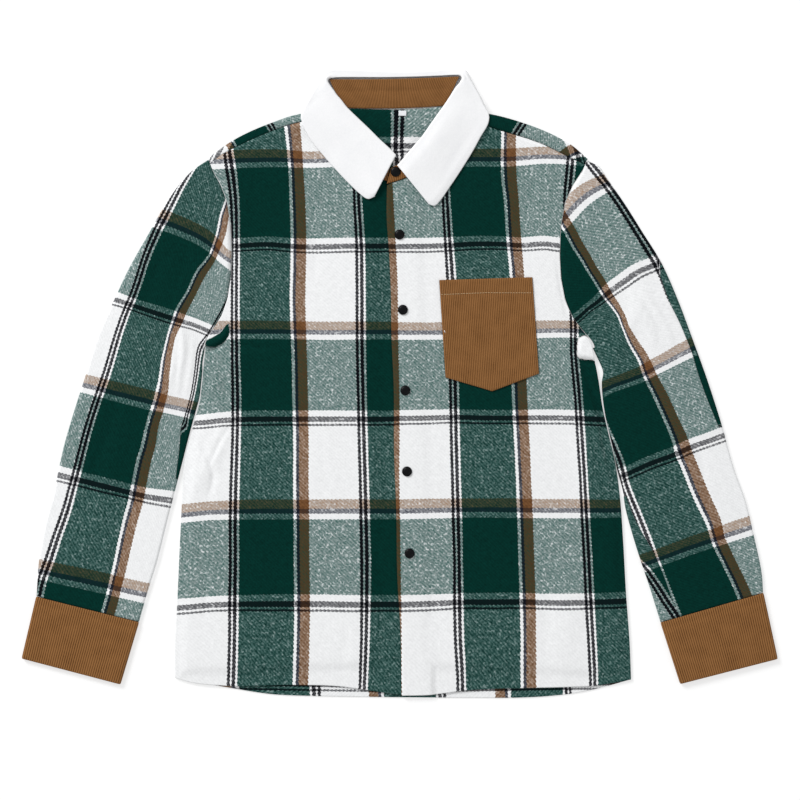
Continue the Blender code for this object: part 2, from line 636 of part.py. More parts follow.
def make_sleeve(name, tip, underarm, depth, sections):
    """A sleeve laid flat: flat below, a fold along each edge, soft above, open at both ends."""
    radius = LAID / 2
    away = -math.copysign(ARMHOLE_GAP, depth)
    ends = [Point(end.x + away, end.y) for end in (tip, underarm)]
    armhole = bowed_line(*ends, depth, armhole_bow)
    outers = np.array([(section.outer_x, section.outer_y) for section in sections])
    inners = np.array([(section.inner_x, section.inner_y) for section in sections])
    outer_ways = edge_normals(outers, inners)
    inner_ways = edge_normals(inners, outers)
    rings = []
    for section, outer, inner, outer_way, inner_way in zip(sections, outers, inners, outer_ways, inner_ways):
        line = armhole if section is sections[0] else bowed_line(outer, inner, section.arch, plain_bow)
        outer_centre, inner_centre = outer - outer_way * radius, inner - inner_way * radius
        shares = [1.0 - share for share in ARMHOLE_SHARES[::-1]]
        plan = [outer_centre, *(line(share) for share in shares[1:-1]), inner_centre]
        if section is not sections[0]:
            beside = np.dot(inner_centre - plan[-2], inner_way)
            plan[-2] = plan[-2] - inner_way * max(0.0, BESIDE_FOLD - beside)
        ring = [(x, y, 0.0) for x, y in plan]
        for degrees in SLEEVE_FOLD_ANGLES:
            angle = math.radians(degrees)
            ring.append((*(inner_centre + inner_way * radius * math.cos(angle)), radius * (1 + math.sin(angle))))
        for share, (x, y) in zip(shares[::-1], plan[::-1]):
            middle = math.sin(math.pi * share) ** SLEEVE_PUFF_POWER if 0.0 < share < 1.0 else 0.0
            ring.append((x, y, LAID + middle * (section.puff + fold_height(SLEEVE_FOLDS, x, y))))
        for degrees in SLEEVE_FOLD_ANGLES[::-1]:
            angle = math.radians(degrees)
            ring.append((*(outer_centre + outer_way * radius * math.cos(angle)), radius * (1 + math.sin(angle))))
        rings.append(ring if depth > 0 else ring[::-1])
    return sheet(name, CHECK, rings, CLOTH, closed=True)


def make_cuff(name, corners):
    """A closed corduroy band laid flat, ribbed above along the sleeve's length."""
    outer_top, inner_top, inner_foot, outer_foot = (np.array(corner, float) for corner in corners)
    width = np.hypot(*(inner_top - outer_top))
    radius = CUFF_HEIGHT / 2
    steps = 2 * round((width - 2 * radius) / WALE)
    outer, inner = [], []
    for share, lift in ((0.0, 0.0), (CUFF_RIDGE_SHARE, CUFF_RIDGE), (CUFF_RIDGE_SHARE * 2, 0.0), (1.0, 0.0)):
        start = outer_top + (outer_foot - outer_top) * share
        end = inner_top + (inner_foot - inner_top) * share
        along = (end - start) / np.hypot(*(end - start))
        near, far = start + along * radius, end - along * radius
        skin, core = [], []
        for j in range(steps + 1):
            x, y = near + (far - near) * j / steps
            skin.append((x, y, CUFF_HEIGHT + lift + RIB * (j % 2)))
            core.append((x, y, CUFF_HEIGHT - CORD_CLOTH))
        for centre, way, angles in ((far, 1, (50, 0, -50)), (near, -1, (-50, 0, 50))):
            if way > 0:
                turns = angles
            else:
                skin.append((*far, 0.0))
                core.append((*far, CORD_CLOTH))
                skin.append((*near, 0.0))
                core.append((*near, CORD_CLOTH))
                turns = angles
            for degrees in turns:
                angle = math.radians(degrees)
                x, y = centre + along * way * radius * math.cos(angle)
                skin.append((x, y, radius + radius * math.sin(angle)))
                x, y = centre + along * way * (radius - CORD_CLOTH) * math.cos(angle)
                core.append((x, y, radius + (radius - CORD_CLOTH) * math.sin(angle)))
        outer.append(skin)
        inner.append(core)
    return faced(name, CORDUROY, outer, inner, closed=True)


def make_pocket():
    """A pointed corduroy patch, ribbed above, lying on the left front."""
    first, last = (np.array(corner, float) for corner in POCKET_TOP)
    foot_first, foot_last = (np.array(corner, float) for corner in POCKET_FOOT)
    foot_middle = np.array(POCKET_POINT, float)
    steps = 2 * round(np.hypot(*(last - first)) / WALE / 2) * 2 // 2
    base = INSIDE + CLOTH + SEAM
    outer, inner = [], []
    for share in (0.0, POCKET_STITCH_SHARE, 1.0):
        skin, core = [], []
        for j in range(2 * steps + 1):
            s = j / (2 * steps)
            head = first + (last - first) * s
            half = foot_first + (foot_middle - foot_first) * min(2 * s, 1.0)
            foot = half + (foot_last - foot_middle) * max(2 * s - 1.0, 0.0)
            x, y = head + (foot - head) * share
            skin.append((x, y, base + POCKET_CLOTH + RIB * (j % 2)))
            core.append((x, y, base))
        outer.append(skin)
        inner.append(core)
    return faced("pocket", CORDUROY, outer, inner)


def leaf_points(section):
    """Points of one leaf section from its roll outwards, and behind also round to its hidden edge."""
    roll = np.array([section.roll_x, section.roll_y])
    reach = np.hypot(section.rim_x - section.roll_x, section.rim_y - section.roll_y)
    out = (np.array([section.rim_x, section.rim_y]) - roll) / reach
    behind = section.hem_y > 0
    curl, turn = section.curl, math.radians(section.turn)
    path = [
        (curl - curl * math.sin(turn * k / 6), section.roll_z - curl + curl * math.cos(turn * k / 6))
        for k in range(6, -1, -1)
    ]
    radius = section.rim_z / 2 if behind else 0.0
    for k in range(1, 13):
        share = k / 12
        u = curl + (reach - radius - curl) * share
        path.append((u, section.roll_z + (section.rim_z - section.roll_z) * smooth_step(share)))
    turns = []
    if behind:
        split = math.radians(LEAF_SPLIT_ANGLE)
        for k in range(1, 4):
            angle = split * k / 3
            path.append((reach - radius + radius * math.sin(angle), radius + radius * math.cos(angle)))
        for k in range(1, LEAF_TURN_STEPS + 1):
            angle = split + (math.pi - split) * k / LEAF_TURN_STEPS
            turns.append((reach - radius + radius * math.sin(angle), radius + radius * math.cos(angle)))
    path = np.array(path)
    stops = np.concatenate([[0.0], np.cumsum(np.hypot(*np.diff(path, axis=0).T))])
    step = min(LEAF_ROLL_STEP, stops[-1] * LEAF_ROLL_SHARE / LEAF_ROLL_STEPS)
    near = [step * k for k in range(LEAF_ROLL_STEPS + 1)]
    far = np.linspace(near[-1], stops[-1], LEAF_TOP_STEPS + 1)[1:]
    flat = [(np.interp(s, stops, path[:, 0]), np.interp(s, stops, path[:, 1])) for s in (*near, *far)]
    points = [(*(roll + out * u), z) for u, z in flat + turns]
    if behind:
        last = np.array(points[-1][:2])
        hem = np.array([section.hem_x, section.hem_y])
        points += [(*(last + (hem - last) * share), 0.0) for share in (0.5, 1.0)]
    else:
        points += [points[-1]] * (LEAF_TURN_STEPS + 2)
    return points


def make_collar_fall():
    """The turned-down leaf: over the fronts, round the neck sides and under the back."""
    sections = LEAF_FRONT_RIGHT + LEAF_BACK + LEAF_FRONT_LEFT
    points = [leaf_points(section) for section in sections]
    top_columns = LEAF_ROLL_STEPS + LEAF_TOP_STEPS
    first, last = len(LEAF_FRONT_RIGHT), len(LEAF_FRONT_RIGHT) + len(LEAF_BACK) - 1
    is_cloth = lambda i, j: j < top_columns or first <= i < last
    return sheet("collar_fall", WHITE, points, COLLAR_CLOTH, kept=is_cloth, side=1.0)


def make_stand_back():
    """The neck part of the stand, ribbed on its inside, which faces up."""
    seam_right, seam_left = np.array(STAND_SEAM_RIGHT, float), np.array(STAND_SEAM_LEFT, float)
    top_right, top_left = np.array(STAND_TOP_RIGHT, float), np.array(STAND_TOP_LEFT, float)
    steps = 2 * round(np.hypot(*(top_left - top_right)) / WALE)
    outer, inner = [], []
    for share in (0.0, STAND_CREASE_SHARE, 1.0):
        skin, core = [], []
        crease = STAND_CREASE if share == STAND_CREASE_SHARE else 0.0
        for j in range(steps + 1):
            s = j / steps
            sag = 4 * s * (1 - s)
            seam = seam_right + (seam_left - seam_right) * s - np.array([0, STAND_SEAM_DIP * sag])
            top = top_right + (top_left - top_right) * s - np.array([0, STAND_TOP_DIP * sag])
            x, y = seam + (top - seam) * share
            z = STAND_SEAM_Z + (STAND_TOP_Z - STAND_SEAM_Z) * share
            skin.append((x, y, z + CORD_CLOTH - crease + RIB * (j % 2)))
            core.append((x, y, z))
        outer.append(skin)
        inner.append(core)
    return faced("collar_stand_back", CORDUROY, outer, inner)


def make_band(name, neck, sections):
    """A front end of the stand, lying between the front's neck seam and the leaf."""
    seam = smooth_curve(neck)
    seams = np.array([seam(section.neck_share) for section in sections])
    tops = np.array([(section.top_x, section.top_y) for section in sections])
    seams -= edge_normals(seams, tops) * BAND_SEAM_GAP
    points = []
    for section, start, end in zip(sections, seams, tops):
        line = []
        for share in BAND_COLUMNS:
            x, y = start + (end - start) * share
            line.append((x, y, section.seam_z + (section.top_z - section.seam_z) * share))
        points.append(line)
    upward = np.cross(np.subtract(points[0][1], points[0][0]), np.subtract(points[1][0], points[0][0]))[2]
    return sheet(name, CORDUROY, points, CORD_CLOTH, side=1.0 if upward > 0 else -1.0)


def make_snap(name, place, base, height):
    """A domed cap turned from its profile."""
    profile = [(0.0, 1.0), (0.45, 0.93), (0.75, 0.72), (0.93, 0.4), (1.0, 0.15), (0.94, 0.0), (0.0, 0.0)]
    mesh = bpy.data.meshes.new(name)
    verts = [(share * SNAP_RADIUS * MM, 0.0, rise * height * MM) for share, rise in profile]
    mesh.from_pydata(verts, [(k, k + 1) for k in range(len(verts) - 1)], [])
    made = add_object(name, BLACK, mesh)
    made.location = (place.x * MM, place.y * MM, base * MM)
    screw = made.modifiers.new("turn", "SCREW")
    screw.steps = screw.render_steps = SNAP_TURNS
    screw.use_merge_vertices = True
    screw.merge_threshold = 0.00001
    screw.use_normal_calculate = True
    return made


def make_label():
    """A bare tape label lying on the inside of the back, just below the stand."""
    mesh = bpy.data.meshes.new("neck_label")
    bm = bmesh.new()
    bmesh.ops.create_cube(bm, size=1.0)
    bmesh.ops.scale(bm, vec=Vector((LABEL_WIDTH, LABEL_LENGTH, LABEL_CLOTH)) * MM, verts=bm.verts)
    bm.to_mesh(mesh)
    bm.free()
    made = add_object("neck_label", WHITE, mesh)
    x, y = LABEL_CENTRE
    made.location = (x * MM, y * MM, (NECK_RISE + CLOTH + SEAM + LABEL_CLOTH / 2) * MM)
    return made


# Finishes: colour and roughness.
CHECK = ((0.02, 0.09, 0.07), 0.85)
CORDUROY = ((0.24, 0.11, 0.035), 0.8)
WHITE = ((0.85, 0.85, 0.86), 0.9)
BLACK = ((0.01, 0.01, 0.012), 0.3)

for old in list(bpy.data.objects):
    bpy.data.objects.remove(old)
garment = bpy.data.collections.new("check_overshirt")
bpy.context.scene.collection.children.link(garment)

make_back()
make_front_right()
make_front_left()
make_sleeve("sleeve_right", SHOULDER_TIP_RIGHT, UNDERARM_RIGHT, ARCH_RIGHT, SLEEVE_RIGHT)
make_sleeve("sleeve_left", SHOULDER_TIP_LEFT, UNDERARM_LEFT, ARCH_LEFT, SLEEVE_LEFT)
make_cuff("cuff_right", CUFF_RIGHT)
make_cuff("cuff_left", CUFF_LEFT)
make_collar_fall()
make_stand_back()
make_band("collar_stand_right", NECK_RIGHT, BAND_RIGHT)
make_band("collar_stand_left", NECK_LEFT, BAND_LEFT)
make_pocket()
for number, place in enumerate(SNAPS, start=1):
    if number == 1:
        make_snap("snap_1", place, BAND_LEFT[0].top_z + CORD_CLOTH + SEAM, NECK_SNAP_HEIGHT)
    else:
        base = front_inside(place.x, place.y) + DOUBLE_CLOTH + SEAM
        make_snap(f"snap_{number}", place, base, SNAP_HEIGHT)
make_label()
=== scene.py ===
"""A check overshirt with corduroy cuffs, pocket and collar stand, laid flat and seen from above.

Lengths are in millimetres until a mesh is made. X runs to the wearer's left, Y up to the collar and Z
up from the surface that the shirt lies on; right and left are the wearer's.
"""

import json
import logging
import math
from collections.abc import Callable, Sequence
from dataclasses import dataclass, field
from enum import Enum

import bpy
import numpy as np
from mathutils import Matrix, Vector

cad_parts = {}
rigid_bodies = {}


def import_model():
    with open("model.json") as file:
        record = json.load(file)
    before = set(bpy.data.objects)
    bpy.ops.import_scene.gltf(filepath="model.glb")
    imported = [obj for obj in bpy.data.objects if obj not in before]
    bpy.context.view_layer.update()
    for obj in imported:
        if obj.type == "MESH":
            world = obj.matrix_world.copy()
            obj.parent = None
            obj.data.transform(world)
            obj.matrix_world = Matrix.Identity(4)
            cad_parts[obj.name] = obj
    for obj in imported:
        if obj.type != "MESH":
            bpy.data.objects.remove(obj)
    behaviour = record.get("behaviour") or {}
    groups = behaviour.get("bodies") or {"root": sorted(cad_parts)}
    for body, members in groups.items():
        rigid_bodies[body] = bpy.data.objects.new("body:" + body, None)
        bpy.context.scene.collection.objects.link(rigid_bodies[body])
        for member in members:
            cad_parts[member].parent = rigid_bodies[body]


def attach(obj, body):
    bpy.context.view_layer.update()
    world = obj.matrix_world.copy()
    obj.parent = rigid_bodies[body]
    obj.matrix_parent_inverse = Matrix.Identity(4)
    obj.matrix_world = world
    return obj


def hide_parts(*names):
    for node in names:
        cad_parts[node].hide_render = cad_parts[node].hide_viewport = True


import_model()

LOG = logging.getLogger("overshirt")

Places = tuple[tuple[float, ...], ...]
# Lines of the check, each a share of the repeat and the places of the picture that it runs through.
Lines = tuple[tuple[float, Places], ...]
Curve = Callable[[np.ndarray], np.ndarray]
# Each tuck's first column, and its depth and start at each row.
Pairs = list[tuple[int, np.ndarray, np.ndarray]]
Colour = tuple[float, float, float]
Settings = dict[str, object]
Sockets = dict[object, object]

MM = 0.001
PICTURE_SCALE = 1.2
PICTURE_MIDDLE = (399.5, 382.5)

# Cloth walls and gaps, shared with the solids.
CLOTH = 1.4
DOUBLE_CLOTH = 2.4
CORD_CLOTH = 2.0
COLLAR_CLOTH = 2.0
POCKET_CLOTH = 1.2
SEAM = 0.3
SHOULDER_GAP = 0.8
ARMHOLE_GAP = 0.7
LAID = 5.3
INSIDE = LAID - CLOTH
EDGE_REST = CLOTH + SEAM
NECK_RISE = COLLAR_CLOTH + SEAM
UNDER_EDGE_REST = 2.2

# Where the collar leaf under the back lifts the cloth: the middle, half the width, the lowest place and
# how softly it ends across and up.
NECK_MIDDLE = -5.4
NECK_HALF = 162.0
NECK_FROM = 288.0
NECK_SOFT_ACROSS = 38.0
NECK_SOFT_UP = 25.0

# One repeat of the check, across and down, and the corduroy.
WARP_REPEAT = 152.4
WEFT_REPEAT = 214.8
WALE = 2.2
RIB = 0.35


def in_mm(places: Sequence[Sequence[float]]) -> np.ndarray:
    """Places read off the picture, turned into millimetres of the garment.

    Args:
        places: Picture positions, rightwards and downwards.

    Returns:
        The same places as X and Y in millimetres, one row each.
    """
    read = np.array(places, float)
    return (read - PICTURE_MIDDLE) * (PICTURE_SCALE, -PICTURE_SCALE)


def smooth_step(share: np.ndarray) -> np.ndarray:
    """0 to 1 with soft ends."""
    share = np.clip(share, 0.0, 1.0)
    return share * share * (3.0 - 2.0 * share)


def bell(share: np.ndarray) -> np.ndarray:
    """1 at 0, fading out round it."""
    return np.exp(-(share**2))


def way_stops(points: np.ndarray) -> np.ndarray:
    """How far along a line in plan each of its points stands."""
    return np.concatenate([[0.0], np.cumsum(np.hypot(*np.diff(points, axis=0).T))])


def read_off(share: np.ndarray, stops: Sequence[float], rows: np.ndarray) -> np.ndarray:
    """Straight values between rows that stand at stops."""
    return np.stack([np.interp(share, stops, column) for column in rows.T], axis=1)


def layered(*parts: np.ndarray) -> np.ndarray:
    """Parts of rows and columns, spread to one size and laid along a last axis."""
    return np.stack(np.broadcast_arrays(*parts), axis=2)


def hermite(stops: np.ndarray, knots: np.ndarray, place: np.ndarray) -> np.ndarray:
    """Smooth values between knots.

    Args:
        stops: Where each knot stands, rising.
        knots: One knot a row, with any number of further axes.
        place: Where values are wanted, between the first stop and the last.

    Returns:
        One value for each place, with the knots' further axes.
    """
    slopes = np.gradient(knots, stops, axis=0)
    i = np.clip(np.searchsorted(stops, place, side="right") - 1, 0, len(stops) - 2)
    tail = (slice(None),) + (None,) * (knots.ndim - 1)
    span = (stops[i + 1] - stops[i])[tail]
    t = (place - stops[i])[tail] / span
    return (
        (2 * t**3 - 3 * t**2 + 1) * knots[i]
        + (t**3 - 2 * t**2 + t) * span * slopes[i]
        + (3 * t**2 - 2 * t**3) * knots[i + 1]
        + (t**3 - t**2) * span * slopes[i + 1]
    )


def smooth_line(rows: Sequence[Sequence[float]]) -> Curve:
    """A smooth line through points, read by shares of its length.

    Args:
        rows: Points in plan, which may carry further columns.

    Returns:
        A function from shares, 0 to 1, to points.
    """
    knots = np.array(rows, float)
    stops = way_stops(knots[:, :2])
    return lambda share: hermite(stops, knots, np.asarray(share, float) * stops[-1])


def joined(first: Curve, second: Curve, share: float) -> Curve:
    """Two lines as one.

    Args:
        first: The line up to the share.
        second: The line from there on.
        share: Where one passes to the other.

    Returns:
        The line through both.
    """

    def at(place: np.ndarray) -> np.ndarray:
        """Points of the joined line."""
        place = np.asarray(place, float)
        low = first(np.clip(place / share, 0.0, 1.0))
        high = second(np.clip((place - share) / (1.0 - share), 0.0, 1.0))
        return np.where((place <= share)[:, None], low, high)

    return at


def bowed_line(start: Sequence[float], end: Sequence[float], depth: float, bow: Curve) -> Curve:
    """A line that bows sideways between two points.

    Args:
        start: Where it starts.
        end: Where it ends.
        depth: How far it bows, to the left of its way.
        bow: The share of that depth at each share of the way.

    Returns:
        A function from shares to points.
    """
    first, along = np.array(start, float), np.subtract(end, start).astype(float)
    across = np.array([-along[1], along[0]]) / np.hypot(*along)

    def at(share: np.ndarray) -> np.ndarray:
        """Points of the bowed line."""
        share = np.asarray(share, float)[:, None]
        return first + along * share + across * depth * bow(share[:, 0])[:, None]

    return at


def edge_ways(edge: np.ndarray, inside: np.ndarray) -> np.ndarray:
    """Unit directions in plan that point out of an edge, away from points inside it."""
    along = np.gradient(edge, axis=0)
    ways = np.stack([-along[:, 1], along[:, 0]], axis=1)
    ways /= np.hypot(*ways.T)[:, None]
    return ways * np.sign(np.sum(ways * (edge - inside), axis=1))[:, None]


def nearest(points: np.ndarray, line: np.ndarray) -> tuple[np.ndarray, np.ndarray, np.ndarray]:
    """Where points lie beside a line.

    Args:
        points: X and Y on the last axis.
        line: Points of the line in plan, in order.

    Returns:
        How far each point is from the line, the share along it of the place it is nearest to, and the
        side that it lies on, 1 to the left and -1 to the right.
    """
    starts, ways = line[:-1], np.diff(line, axis=0)
    off = points[..., None, :] - starts
    share = np.clip(np.sum(off * ways, axis=-1) / np.sum(ways * ways, axis=1), 0.0, 1.0)
    gap = off - share[..., None] * ways
    far = np.hypot(gap[..., 0], gap[..., 1])
    best = np.argmin(far, axis=-1)[..., None]
    far, share, across, up = (
        np.take_along_axis(a, best, axis=-1)[..., 0] for a in (far, share, gap[..., 0], gap[..., 1])
    )
    best = best[..., 0]
    return far, (best + share) / len(ways), np.sign(ways[best, 0] * up - ways[best, 1] * across)


@dataclass(frozen=True)
class Fold:
    """A soft round rise of the cloth: its middle, turn from X in degrees, length, width and height."""

    x: float
    y: float
    turn: float
    length: float
    width: float
    height: float

    def lift(self, x: np.ndarray, y: np.ndarray) -> np.ndarray:
        """How far the fold lifts the cloth at each point."""
        turn = math.radians(self.turn)
        along = (x - self.x) * math.cos(turn) + (y - self.y) * math.sin(turn)
        across = (y - self.y) * math.cos(turn) - (x - self.x) * math.sin(turn)
        return self.height * np.exp(-((2 * along / self.length) ** 2) - (2 * across / self.width) ** 2)


@dataclass(frozen=True)
class Crease:
    """A creased line of the cloth through places of the picture, a trough or, with a height above 0, a ridge."""

    places: Places
    height: float
    width: float
    lean: float = 0.0

    def lift(self, x: np.ndarray, y: np.ndarray) -> np.ndarray:
        """How far the crease lifts the cloth at each point.

        Args:
            x: The points' X.
            y: The points' Y.

        Returns:
            The lift, greatest along the middle of the line and fading out at both its ends.
        """
        line = smooth_line(in_mm(self.places))(np.linspace(0.0, 1.0, 24))
        flat = np.stack([x.ravel(), y.ravel()], axis=1)
        near = np.nonzero(
            np.all((flat > line.min(0) - 3 * self.width) & (flat < line.max(0) + 3 * self.width), axis=1)
        )[0]
        lift = np.zeros(flat.shape[0])
        if len(near):
            far, along, side = nearest(flat[near], line)
            fade = np.sin(math.pi * np.clip(along, 0.02, 0.98)) ** 0.6
            lift[near] = self.height * fade * bell(far / (self.width * (1.0 + self.lean * side)))
        return lift.reshape(x.shape)


@dataclass(frozen=True)
class Bunch:
    """A small rise inside an outline, where the cloth is bunched up and another part of the check shows."""

    outline: Places
    height: float
    warp: float
    weft: float
    soft: float = 5.0

    def depth(self, x: np.ndarray, y: np.ndarray) -> np.ndarray:
        """How far inside the outline each point is, in millimetres, below 0 outside it."""
        line = smooth_line((*in_mm(self.outline), in_mm(self.outline)[0]))(np.linspace(0.0, 1.0, 60))
        points = np.stack([x.ravel(), y.ravel()], axis=1)
        far = nearest(points, line)[0]
        starts, ends, up = line[:-1], line[1:], points[:, None, 1]
        ways = ends - starts
        crossed = (starts[:, 1] > up) != (ends[:, 1] > up)
        level = np.where(np.abs(ways[:, 1]) < 1e-9, 1e-9, ways[:, 1])
        slope = (up - starts[:, 1]) * ways[:, 0] / level + starts[:, 0]
        inside = np.sum(crossed & (points[:, :1] < slope), axis=1) % 2 == 1
        return np.where(inside, far, -far).reshape(x.shape)

    def lift(self, x: np.ndarray, y: np.ndarray) -> np.ndarray:
        """How far the bunch lifts the cloth at each point."""
        return self.height * smooth_step((self.depth(x, y) + 1.0) / self.soft)

    def moved(self, plan: np.ndarray) -> np.ndarray:
        """How far the check has moved on at each point of a plan."""
        share = smooth_step(self.depth(plan[..., 0], plan[..., 1]) / 1.4 + 0.5)
        return share[..., None] * np.array([self.warp, self.weft])


def relief(folds: Sequence[Fold | Crease], x: np.ndarray, y: np.ndarray) -> np.ndarray:
    """Sum of the folds and creases at each point."""
    total = np.zeros(x.shape)
    for fold in folds:
        total += fold.lift(x, y)
    return total


@dataclass(frozen=True)
class Tuck:
    """A crease that swallows cloth: past its line the check starts again at another share.

    Each place has the share that the check starts again at. The line runs down the sleeve, and past it
    means on towards the sleeve's inner fold, or its outer one.
    """

    places: Places
    outwards: bool = False
    fade: tuple[float, float] = (0.12, 0.12)
    step: float = 0.0
    width: float = 9.0
    reach: float = 6.0

    def crossings(self, plan: np.ndarray, shares: np.ndarray) -> tuple[np.ndarray, np.ndarray, np.ndarray]:
        """Where each row of a cloth crosses the crease.

        Args:
            plan: X and Y of the cloth's rows and columns.
            shares: The share across of each column.

        Returns:
            The share across at each row, how much of the crease's whole depth is there, and the share
            that the check starts again at.
        """
        rows = np.array(self.places)
        line = smooth_line(np.column_stack([in_mm(rows[:, :2]), rows[:, 2]]))(np.linspace(0.0, 1.0, 26))
        starts = line[:, 2]
        far, place, side = nearest(plan, line[:, :2])
        side = far * side
        on_line = (far < self.reach) & (place > 0.002) & (place < 0.998)
        cross = (side[:, :-1] * side[:, 1:] <= 0.0) & on_line[:, :-1]
        rows, column = np.nonzero(cross.any(axis=1))[0], cross.argmax(axis=1)
        first = column[rows]
        span = side[rows, first] - side[rows, first + 1]
        split = side[rows, first] / np.where(np.abs(span) < 1e-9, 1.0, span)
        found = shares[first] + (shares[first + 1] - shares[first]) * split
        everywhere = np.arange(len(plan))
        where = np.interp(everywhere, rows, found)
        reached = np.interp(everywhere, rows, place[rows, first])
        depth = smooth_step(reached / self.fade[0]) * smooth_step((1.0 - reached) / self.fade[1])
        depth[(everywhere < rows[0]) | (everywhere > rows[-1])] = 0.0
        return where, depth, np.interp(reached, np.linspace(0.0, 1.0, len(starts)), starts)


class CheckMap:
    """Finds where in the check each place of a cloth is, from given lines of the check."""

    def __init__(self, warps: Lines, wefts: Lines) -> None:
        """Fits a thin plate through each set of lines.

        Args:
            warps: Lines that run down the cloth.
            wefts: Lines that run across it.
        """
        self.plates = [self._fitted(lines) for lines in (warps, wefts)]

    @staticmethod
    def _bend(far: np.ndarray) -> np.ndarray:
        """The thin plate's own curve of distance."""
        return far**2 * np.log(np.maximum(far, 1e-9))

    def _fitted(self, lines: Lines) -> tuple[np.ndarray, np.ndarray]:
        """A plate through the lines' places: the places and the weights of each and of the plane."""
        places = np.concatenate([in_mm(read) for _, read in lines]) / 100.0
        shares = np.concatenate([np.full(len(read), share) for share, read in lines])
        count = len(places)
        far = np.hypot(*(places[:, None] - places[None]).transpose(2, 0, 1))
        plane = np.column_stack([np.ones(count), places])
        system = np.zeros((count + 3, count + 3))
        system[:count, :count] = self._bend(far) + np.eye(count) * 0.01
        system[:count, count:] = plane
        system[count:, :count] = plane.T
        return places, np.linalg.solve(system, np.concatenate([shares, np.zeros(3)]))

    def at(self, plan: np.ndarray) -> np.ndarray:
        """Shares of the warp and weft repeats at each point.

        Args:
            plan: Points with X and Y on the last axis.

        Returns:
            An array of the same shape, with the two shares on the last axis.
        """
        points = plan.reshape(-1, 2)
        columns = []
        for places, weights in self.plates:
            far = np.hypot(*(points[:, None] / 100.0 - places[None]).transpose(2, 0, 1))
            columns.append(self._bend(far) @ weights[:-3] + weights[-3] + points / 100.0 @ weights[-2:])
        return np.stack(columns, axis=1).reshape(plan.shape)


class Slot(Enum):
    """The garment's material slots."""

    CHECK = "check_cloth"
    CORDUROY = "corduroy"
    WHITE = "white_cloth"
    SNAP = "snap_cap"


